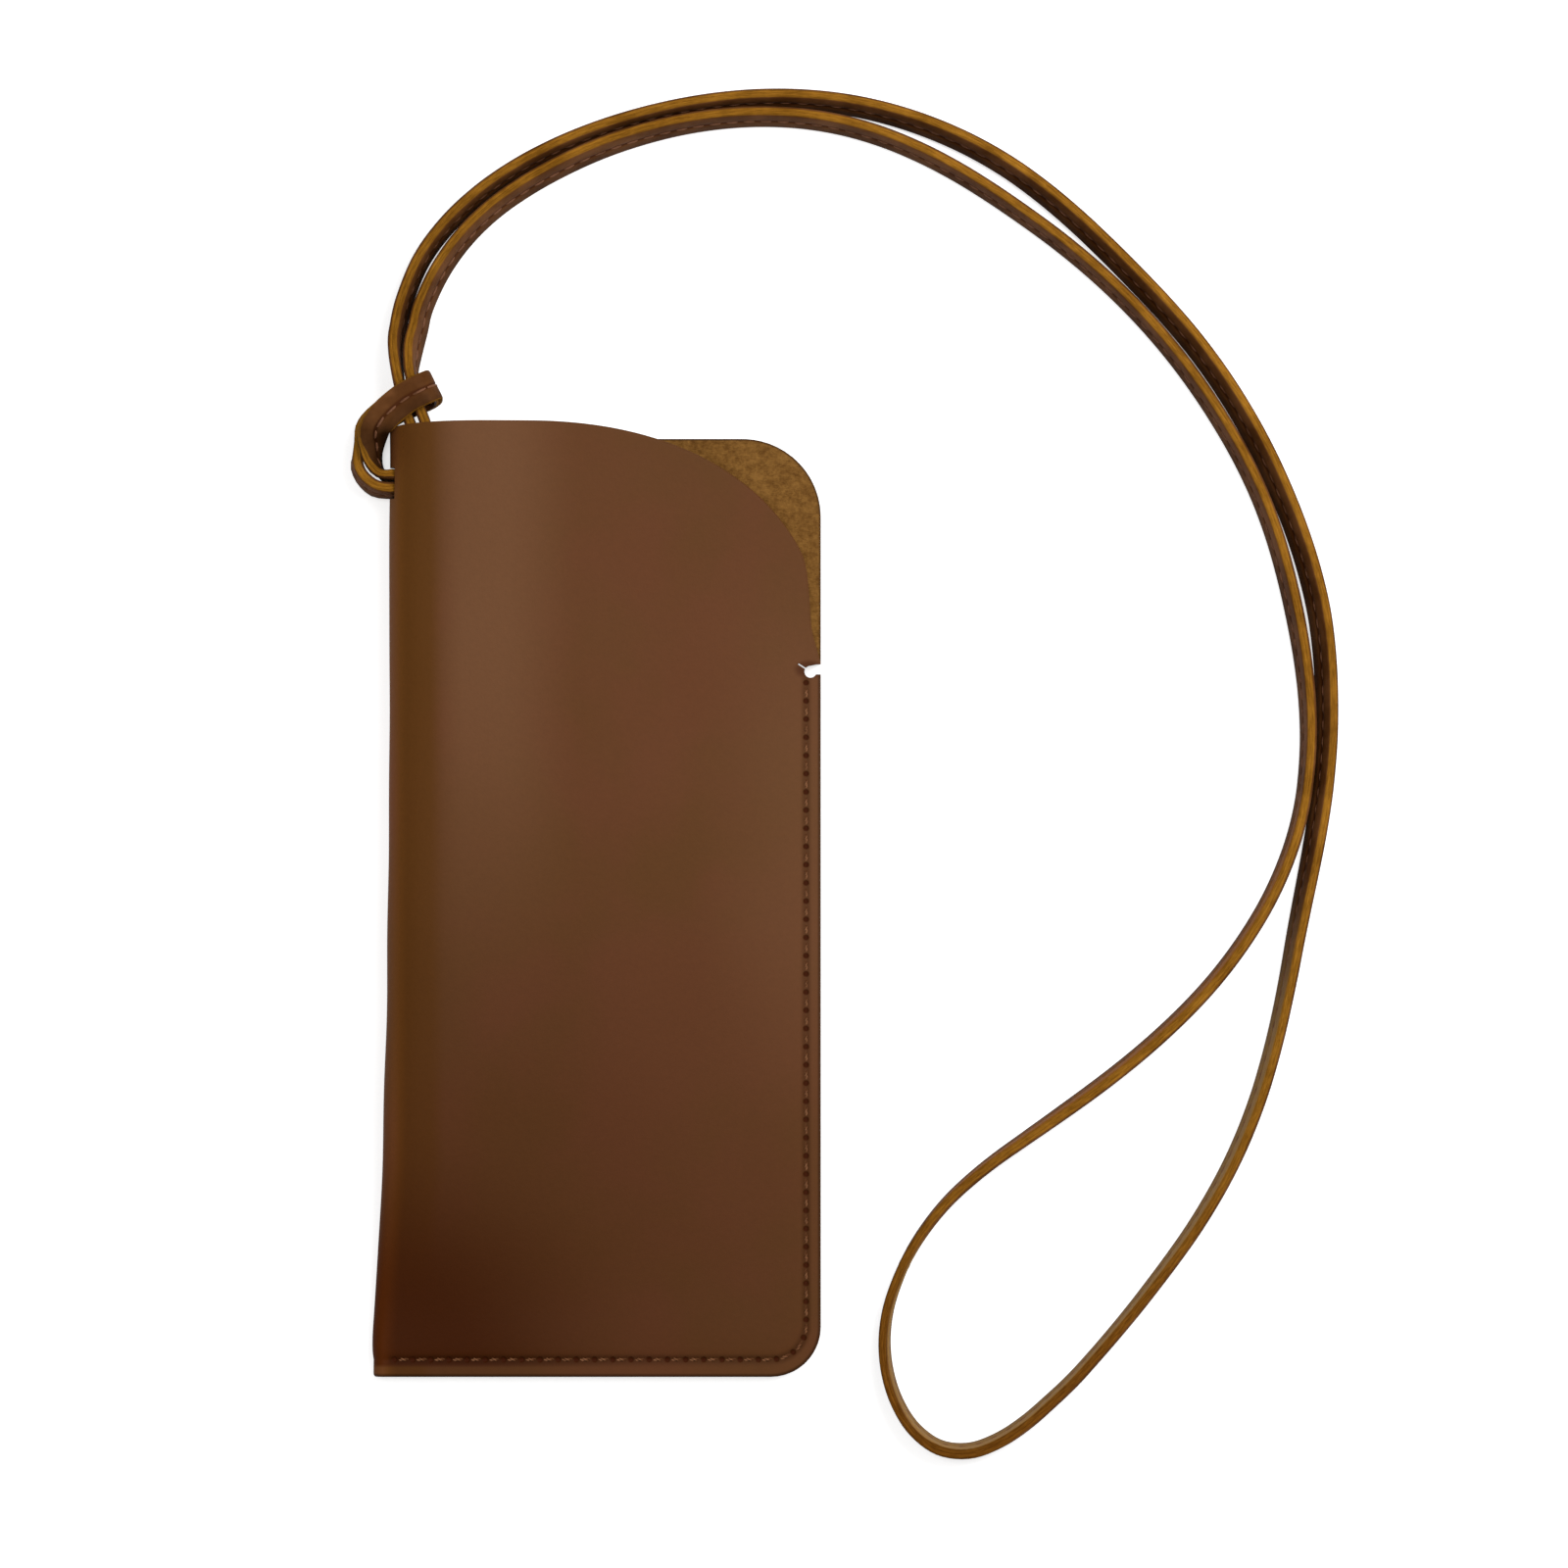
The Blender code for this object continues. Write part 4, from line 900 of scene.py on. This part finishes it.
tilt_x = front_z(seam_x + TILT_REACH, seam_y) - front_z(seam_x - TILT_REACH, seam_y)
tilt_y = front_z(seam_x, seam_y + TILT_REACH) - front_z(seam_x, seam_y - TILT_REACH)
up, down = unit(np.column_stack([-tilt_x, -tilt_y, np.ones(count)])), np.tile([0, 0, -1.0], (count, 1))
upper = np.column_stack([seam_places, front_z(seam_x, seam_y) - NEEDLE_SUNK]) * MM
lower = np.column_stack([seam_places, np.full(count, BOBBIN_LEVEL)]) * MM
needle = sew("seam_stitches_front", upper, up, seam_yarn, SEAM_SEWING)
bobbin = sew("seam_stitches_back", lower, down, seam_yarn, SEAM_SEWING)
for piece, node in ((needle, "needle_thread"), (bobbin, "bobbin_thread")):
    give_values(piece, front_edge)
    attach(piece, "case")
    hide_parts(node)
print("seam stitches:", len(needle.data.polygons), "faces a row")

# %% [markdown]
# ## Writing finishes as sums
# A finish is a small web of nodes. Wrapping a socket in a class with the usual operators
# lets it be written as arithmetic, and a method makes each other node. Colours go
# through Mix nodes, since a Math node would turn them grey.

# %% Finish helper
def sum_of(operation, turned=False):
    """A method that feeds a Math node, with the wire as its second value where turned."""

    def method(self, other=0.0):
        a, b = (other, self) if turned else (self, other)
        return self.finish.node("ShaderNodeMath", {0: a, 1: b}, operation=operation)

    return method


class Wire:
    """A shader socket that can stand in a Python sum."""

    def __init__(self, finish, socket):
        self.finish, self.socket = finish, socket

    __add__ = __radd__ = sum_of("ADD")
    __mul__ = __rmul__ = sum_of("MULTIPLY")
    __sub__, __rsub__ = sum_of("SUBTRACT"), sum_of("SUBTRACT", turned=True)
    __truediv__ = sum_of("DIVIDE")
    size, root, part = sum_of("ABSOLUTE"), sum_of("SQRT"), sum_of("FRACT")

    def step(self, low, high):
        """0 below low, 1 above high, smooth between."""
        sizes = {"Value": self, "From Min": low, "From Max": high}
        return self.finish.node("ShaderNodeMapRange", sizes, interpolation_type="SMOOTHSTEP")

    def fall(self, low, high):
        """1 below low, 0 above high, smooth between."""
        return 1 - self.step(low, high)

    def band(self, low, full, last, high):
        """1 from full to last, 0 outside low and high."""
        return self.step(low, full) * self.fall(last, high)


class Finish:
    """A material on one Principled shader, with its nodes written as sums."""

    def __init__(self, name, **plain):
        self.material = bpy.data.materials.get(name) or bpy.data.materials.new(name)
        self.material.use_nodes = True
        self.tree = self.material.node_tree
        self.shader = self.tree.nodes["Principled BSDF"]
        for title, value in plain.items():
            self.shader.inputs[title.replace("_", " ")].default_value = value

    def node(self, kind, inputs=None, output=0, **settings):
        sockets = {key: getattr(value, "socket", value) for key, value in (inputs or {}).items()}
        return Wire(self, add_node(self.tree, kind, sockets, output, **settings))

    def place(self):
        return self.node("ShaderNodeTexCoord", output="Object")

    def axis(self, where, index):
        return self.node("ShaderNodeSeparateXYZ", {0: where}, output=index)

    def distance(self, where, corner):
        return self.node("ShaderNodeVectorMath", {0: where, 1: corner}, output="Value", operation="DISTANCE")

    def value(self, name):
        return self.node("ShaderNodeAttribute", output="Fac", attribute_name=name)

    def noise(self, where, scale, detail, roughness):
        sizes = {"Vector": where, "Scale": scale, "Detail": detail, "Roughness": roughness}
        return self.node("ShaderNodeTexNoise", sizes, output="Fac")

    def blend(self, share, a, b):
        a, b = ((*c, 1) if isinstance(c, tuple) else c for c in (a, b))
        return self.node("ShaderNodeMix", {0: share, 6: a, 7: b}, output=2, data_type="RGBA")

    def shade(self, colour, amount):
        """A colour times a number that may vary over the surface."""
        return self.node("ShaderNodeVectorMath", {0: colour, 3: amount}, operation="SCALE")

    def bump(self, height, distance, strength, over=None):
        sizes = {"Height": height, "Distance": distance, "Strength": strength}
        if over:
            sizes["Normal"] = over
        return self.node("ShaderNodeBump", sizes)

    def set(self, **wires):
        for title, wire in wires.items():
            self.tree.links.new(wire.socket, self.shader.inputs[title.replace("_", " ")])


print("a wire knows", [name for name in vars(Wire) if not name.startswith("_")])

# %% [markdown]
# ## Brown grain leather
# The leather is smooth and satin, with a fine pebble that only shows in the light's edge,
# and a cloudy tone, redder in some places and more olive in others. It is darker where it
# is pressed: along the seam, where the darkening is also painted shade for the groove, round
# the notch and at the cut edge. The needle holes are painted shade. Painted shade darkens the
# foot's left corner, a spot by the knot and a strip beside the spine; painted highlights
# lighten the ridge beside it and the right side, and painted light the fold's edge.

# %% Grain leather
OLIVE_BROWN, RED_BROWN = (0.112, 0.0435, 0.0125), (0.124, 0.0430, 0.0155)
PAINTED_SHADE_BROWN, HOLE_BROWN = (0.050, 0.0105, 0.0005), (0.044, 0.0075, 0.0006)
HIGHLIGHT_BROWN, VALLEY_SHADE_BROWN = (0.152, 0.0640, 0.0260), (0.104, 0.0370, 0.0050)
FOOT_CORNER = (-37.9 * MM, -87.3 * MM, 3 * MM)  # centre of the painted shade towards the foot, darkest there
KNOT_CORNER = (-37.5 * MM, 86.5 * MM, 5 * MM)  # and of the painted shade beside the knot
VALLEY = [x * MM for x in (-38.6, -36.6, -31.5, -28)]  # the strip of painted shade beside the spine
RIDGE = [x * MM for x in (-31.5, -24.5, -18.5, -2)]  # and the painted highlight next to it
FOLD_LIGHT = (-38.6 * MM, -35.2 * MM)  # over which the painted light at the fold's edge fades into the panel
SEWN_RUN = (-1.4, -0.6, SEAM_LENGTH + 0.6, SEAM_LENGTH + 1.4)  # mm along the seam


def above_notch(y):
    return y.step((NOTCH_Y - 1) * MM, (NOTCH_Y + 1) * MM)


def grain_leather(name, front):
    finish = Finish(name, IOR=1.45, Specular_IOR_Level=0.07)
    where = finish.place()
    cloud, patch = finish.noise(where, 22, 3, 0.55), finish.noise(where, 75, 2, 0.5)
    fine = finish.noise(where, 900, 3, 0.6)
    pebble = finish.node("ShaderNodeTexVoronoi", {"Vector": where, "Scale": 1500}, output="Distance")
    x, y = finish.axis(where, 0), finish.axis(where, 1)
    from_foot = finish.distance(where, FOOT_CORNER)

    run, off, edge = (finish.value(title) for title in ("seam_run", "seam_off", "edge_off"))
    along = ((run / PITCH + 0.5).part() - 0.5).size() * PITCH
    sewn_part = run.band(*SEWN_RUN)
    hole = (along * along + off * off).root().fall(0.34, 0.68) * sewn_part
    pressed_and_shaded = off.size().fall(0.2, 1.3) * sewn_part

    tone = finish.blend((cloud * 0.7 + patch * 0.3).step(0.38, 0.62), OLIVE_BROWN, RED_BROWN)
    # painted shade: darker towards the foot's left corner
    deep = 0.55 * from_foot.fall(11 * MM, 48 * MM) + 0.45 * from_foot.fall(28 * MM, 129 * MM)
    rim = edge.fall(0.3, 0.8)
    inward = x + y.fall(-88 * MM, -43 * MM) * 2.3 * MM  # the fold runs outwards at the foot
    if front:
        # painted shade in a strip beside the spine
        tone = finish.blend(inward.band(*VALLEY) * 0.85, tone, VALLEY_SHADE_BROWN)
        # painted highlight on the ridge
        tone = finish.blend(x.band(*RIDGE) * y.step(-40 * MM, 62 * MM), tone, HIGHLIGHT_BROWN)
        # painted light: lighter towards the right side
        right = x.step(16 * MM, 38 * MM) * (y - 12 * MM).size().fall(15 * MM, 65 * MM)
        tone = finish.blend(right * 0.5, tone, HIGHLIGHT_BROWN)
        # painted shade by the knot; the margin along the outline is kept free of the painted shade
        knot = finish.distance(where, KNOT_CORNER).fall(2 * MM, 10 * MM)
        deep = (deep + knot * 0.35) * (1 - edge.fall(1.6, 2.5) * 0.6)
        to_x, to_y = x - (HALF_WIDTH - 2.2) * MM, y - NOTCH_Y * MM
        notch = (to_x * to_x + to_y * to_y * 2.5).root().fall(1.6 * MM, 3.4 * MM)
        rim = rim * (1 - above_notch(y) * 0.9)
    tone = finish.blend(deep, tone, PAINTED_SHADE_BROWN)
    # the seam's pressed line is darkened, partly as painted shade for its groove
    shade = (1 - pressed_and_shaded * 0.28) * (1 - rim * 0.5) * (0.93 + fine * 0.14)
    # painted light: brighter at the fold's edge
    colour = finish.shade(tone, shade * (1.6 - inward.step(*FOLD_LIGHT) * 0.6))
    # painted shade in the needle holes
    colour = finish.blend(hole * 0.95, colour, HOLE_BROWN)
    if front:
        colour = finish.blend(notch * 0.6, colour, HOLE_BROWN)

    grain = finish.bump(pebble, 0.05 * MM, 0.25)
    grain = finish.bump(fine, 0.06 * MM, 0.35, over=grain)
    grain = finish.bump(1 - hole, 0.25 * MM, 0.6, over=grain)
    rough = 0.46 + cloud * 0.08 + fine * 0.05 + pressed_and_shaded * 0.12
    finish.set(Base_Color=colour, Roughness=rough, Normal=grain)
    return finish.material


leather_front = grain_leather("brown_leather_front", True)
leather_back = grain_leather("brown_leather_back", False)
print("leather from", OLIVE_BROWN, "to", PAINTED_SHADE_BROWN)

# %% Edge paint
PAINT_DARK, PAINT_LIGHT, LIP_OCHRE = (0.046, 0.015, 0.004), (0.082, 0.028, 0.008), (0.30, 0.135, 0.040)


def edge_paint(name, lip_shade):
    """Painted cut edges, lighter by lip_shade above the notch."""
    finish = Finish(name, IOR=1.45, Specular_IOR_Level=0.08)
    where = finish.place()
    worn = finish.noise(where, 420, 3, 0.6)
    colour = finish.blend(worn.step(0.35, 0.7), PAINT_DARK, PAINT_LIGHT)
    colour = finish.blend(above_notch(finish.axis(where, 1)) * lip_shade, colour, LIP_OCHRE)
    finish.set(Base_Color=colour, Roughness=0.42 + worn * 0.2, Normal=finish.bump(worn, 0.12 * MM, 0.5))
    return finish.material


front_paint, back_paint = edge_paint("edge_paint_front", 0.5), edge_paint("edge_paint_back", 0)
print("edges painted from", PAINT_DARK, "to", PAINT_LIGHT)

# %% [markdown]
# ## Ochre suede
# The flesh side is matt and fibrous. Short fibres lie in every direction, so the finish
# mixes a blotchy tone with fine noise, stretched two ways, and gives it a soft sheen.

# %% Suede
SUEDE_DARK, SUEDE_LIGHT, SUEDE_EDGE = (0.108, 0.042, 0.005), (0.255, 0.120, 0.025), (0.045, 0.017, 0.005)


def suede(name):
    finish = Finish(name, Specular_IOR_Level=0.08, Sheen_Weight=0.08, Sheen_Roughness=0.6)
    where = finish.place()
    blotch, broad = finish.noise(where, 820, 4, 0.7), finish.noise(where, 90, 2, 0.5)

    def fibres(angle, scale):
        stretch = {"Vector": where, "Rotation": (0, 0, angle), "Scale": (1, 4.5, 1)}
        return finish.noise(finish.node("ShaderNodeMapping", stretch), scale, 3, 0.6)

    fibre = fibres(0.7, 1100) * 0.5 + fibres(-0.9, 1300) * 0.5
    tone = (blotch * 0.55 + broad * 0.15 + fibre * 0.3).step(0.34, 0.66)
    border = finish.value("edge_off").fall(0.12, 0.5)
    colour = finish.blend(border * 0.8, finish.blend(tone, SUEDE_DARK, SUEDE_LIGHT), SUEDE_EDGE)
    fuzz = finish.bump(fibre, 0.22 * MM, 0.7)
    fuzz = finish.bump(blotch, 0.3 * MM, 0.5, over=fuzz)
    finish.set(Base_Color=colour, Roughness=0.86 + fibre * 0.12, Normal=fuzz)
    return finish.material


suede_inside = suede("ochre_suede_inside")
print("suede from", SUEDE_DARK, "to", SUEDE_LIGHT)

# %% [markdown]
# ## Strap finish
# One material covers the strap. The place on its section says what shows: raw ochre leather
# on the cut edges, with a dark crease between the plies, and brown grain on the faces, with
# painted shade on their lower part, in the pressed line and on the outer side's cut edge. The
# place along the ring adds painted shade by the slot, a paler tan inside the loop's far end,
# and painted light, lighter and redder, on the outside before it.

# %% Strap
RAW_DARK, RAW_LIGHT = (0.170, 0.066, 0.005), (0.370, 0.160, 0.016)
WORN_DARK, WORN_LIGHT = (0.110, 0.036, 0.003), (0.225, 0.084, 0.009)
FACE_DARK, FACE_LIGHT = (0.092, 0.032, 0.0080), (0.155, 0.060, 0.0190)
PRESSED_SHADE_BROWN, PALE_TAN, LIT_RED = (0.055, 0.013, 0.003), (0.320, 0.175, 0.052), (0.270, 0.095, 0.012)
SLOT_SHADE = (5, 9, 17, 24)  # mm along the ring: painted shade where it is drawn through the slot
LOOP_TURN = float(strap_run[np.argmin(centre[:, 1])]) / MM  # where the outer side changes plies
PALE_FACE = [LOOP_TURN + run for run in (-55, -42, 95, 135)]  # paler tan, inside the loop
RUDDY_FACE = [LOOP_TURN + run for run in (-170, -140, -62, -48)]  # painted light, lighter and redder, on its outside


def strap_finish():
    finish = Finish("strap_two_ply", IOR=1.45, Specular_IOR_Level=0.03)
    where = finish.place()
    out, wide, run = (finish.value(title) for title in ("ply_out", "ply_wide", "strap_run"))
    # painted shade: on the side facing out of the loop the dark grain reaches further over the cut edge
    outside = out * (run.step(LOOP_TURN - 15, LOOP_TURN + 15) * 2 - 1)
    cut = wide.size().step(2.62, 2.82) * outside.fall(0.42, 0.6) * (outside * -1).fall(0.82, 0.94)
    crease = out.size().fall(0.02, 0.14) * cut
    lengthwise = finish.node("ShaderNodeCombineXYZ", {0: run * 0.25, 1: out * 3.0, 2: wide * 3.0})
    fibre = finish.noise(lengthwise, 1.6, 4, 0.65)
    cloud, fine = finish.noise(where, 120, 3, 0.6), finish.noise(where, 1100, 3, 0.6)
    raw = finish.blend((fibre * 0.6 + cloud * 0.4).step(0.34, 0.66), RAW_DARK, RAW_LIGHT)
    worn = finish.blend(fibre.step(0.3, 0.7), WORN_DARK, WORN_LIGHT)
    raw = finish.blend(finish.axis(where, 1).fall(-95 * MM, -25 * MM), raw, worn)
    raw = finish.shade(raw, 1.05 - out.size() * 0.35)
    grain = finish.blend(cloud.step(0.35, 0.65), FACE_DARK, FACE_LIGHT)
    # the pressed line is darkened, partly as painted shade for its groove and holes
    grain = finish.blend(wide.size().fall(0.15, 0.6) * 0.75, grain, PRESSED_SHADE_BROWN)
    pale = run.band(*PALE_FACE) * (out * -1).step(0.5, 0.9)
    # painted light: the upper part of the outer face before the far end is lighter and redder
    ruddy = run.band(*RUDDY_FACE) * out.step(0.5, 0.9) * wide.step(-2.4, 0.4)
    grain = finish.blend(pale * 0.85, grain, PALE_TAN)
    grain = finish.blend(ruddy * 0.85, grain, LIT_RED)
    # painted shade: the faces darker towards their lower edge, and by the slot
    shade = (0.6 + wide.step(-3.0, 1.5) * 0.4) * (1 - run.band(*SLOT_SHADE) * 0.6)
    colour = finish.blend(cut, finish.shade(grain, shade), raw)
    colour = finish.shade(colour, (1 - crease * 0.12) * (0.85 + fine * 0.3))
    bump = finish.bump(fine, 0.06 * MM, 0.4)
    bump = finish.bump(fibre, 0.12 * MM, 0.4, over=bump)
    finish.set(Base_Color=colour, Roughness=0.45 + cut * 0.32 + fine * 0.08, Normal=bump)
    return finish.material


strap.data.materials.append(strap_finish())
print("the strap's far end is", round(LOOP_TURN), "mm along the ring")

# %% [markdown]
# ## Yarn
# Both yarns are fluffy and uneven in tone. A seam stitch has painted shade where it comes up
# out of its hole and a painted highlight past its middle, so the tone also follows the run of the seam.

# %% Yarn
SEAM_YARN = (0.105, 0.036, 0.011), (0.250, 0.108, 0.048)
STRAP_YARN = (0.095, 0.036, 0.014), (0.190, 0.080, 0.040)


def yarn_finish(name, tones, dives):
    finish = Finish(name, Specular_IOR_Level=0.12)
    where = finish.place()
    fluff, tone = finish.noise(where, 2600, 3, 0.6), finish.noise(where, 240, 2, 0.5)
    share = (fluff * 0.5 + tone * 0.5).step(0.3, 0.6)
    if dives:
        # painted highlight past each stitch's middle, painted shade over the rest of it
        share = share * ((finish.value("seam_run") / PITCH).part() - 0.64).size().fall(0.12, 0.3)
    colour = finish.blend(share, *tones)
    finish.set(Base_Color=colour, Roughness=0.6 + fluff * 0.2, Normal=finish.bump(fluff, 0.05 * MM, 0.6))


yarn_finish("seam_yarn", SEAM_YARN, True)
yarn_finish("strap_yarn", STRAP_YARN, False)
print("the seam's yarn from", SEAM_YARN[0], "to", SEAM_YARN[1])

# %% Each sheet's finishes, on its faces and on its rims
for piece, face, edge in (
    (front_leather, leather_front, front_paint),
    (back_leather, leather_back, back_paint),
    (front_suede, suede_inside, suede_inside),
    (back_suede, suede_inside, suede_inside),
):
    piece.data.materials[0], piece.data.materials[1] = face, edge
print(len(bpy.data.materials), "materials")

# %% [markdown]
# ## Table and light
# A flat lay is shot on a white table. The table keeps its shadow, and a little glow that
# only the camera sees lifts it to white. One large soft light hangs above, towards the
# mouth, and a weaker one stands at the right, so a faint shadow falls to the left.

# %% Table, world and lamps
EXTENT = 6.0  # m from the middle to each side of the table
WHITE, TABLE_WHITE = (1, 1, 1, 1), (0.86, 0.86, 0.86, 1)
TABLE_GLOW, WORLD_LIGHT, WORLD_SEEN = 0.60, 0.36, 1.0
table_mesh = bpy.data.meshes.new("table")
corners = [(x * EXTENT, y * EXTENT, 0) for x, y in ((-1, -1), (1, -1), (1, 1), (-1, 1))]
table_mesh.from_pydata(corners, [], [(0, 1, 2, 3)])
table = add("table", table_mesh)
table.location.z = -0.05 * MM
plain = {"Base_Color": TABLE_WHITE, "Roughness": 0.9, "Specular_IOR_Level": 0.0, "Emission_Color": WHITE}
board = Finish("white_table", **plain)
board.set(Emission_Strength=board.node("ShaderNodeLightPath", output="Is Camera Ray") * TABLE_GLOW)
table_mesh.materials.append(board.material)

world = bpy.data.worlds.new("studio")
world.use_nodes = True
bpy.context.scene.world = world
sky = world.node_tree.nodes["Background"]
seen = add_node(world.node_tree, "ShaderNodeLightPath", output="Is Camera Ray")
levels = {"Value": seen, "To Min": WORLD_LIGHT, "To Max": WORLD_SEEN}
world.node_tree.links.new(add_node(world.node_tree, "ShaderNodeMapRange", levels), sky.inputs["Strength"])
sky.inputs["Color"].default_value = WHITE


def soft_light(name, place, aim, size, power):
    lamp = bpy.data.lights.new(name, "AREA")
    lamp.shape, lamp.size, lamp.size_y, lamp.energy = "RECTANGLE", *size, power
    made = add(name, lamp)
    made.location = place
    made.rotation_euler = (Vector(aim) - Vector(place)).to_track_quat("-Z", "Y").to_euler()


soft_light("overhead", (-0.12, 0.22, 2.2), (0.0, 0.0, 0.0), (0.35, 0.7), 7.9)
soft_light("upper_right", (0.36, 0.30, 0.60), (0.02, 0.0, 0.0), (0.45, 0.45), 3.85)
view = bpy.context.scene.view_settings
view.view_transform = "Standard"
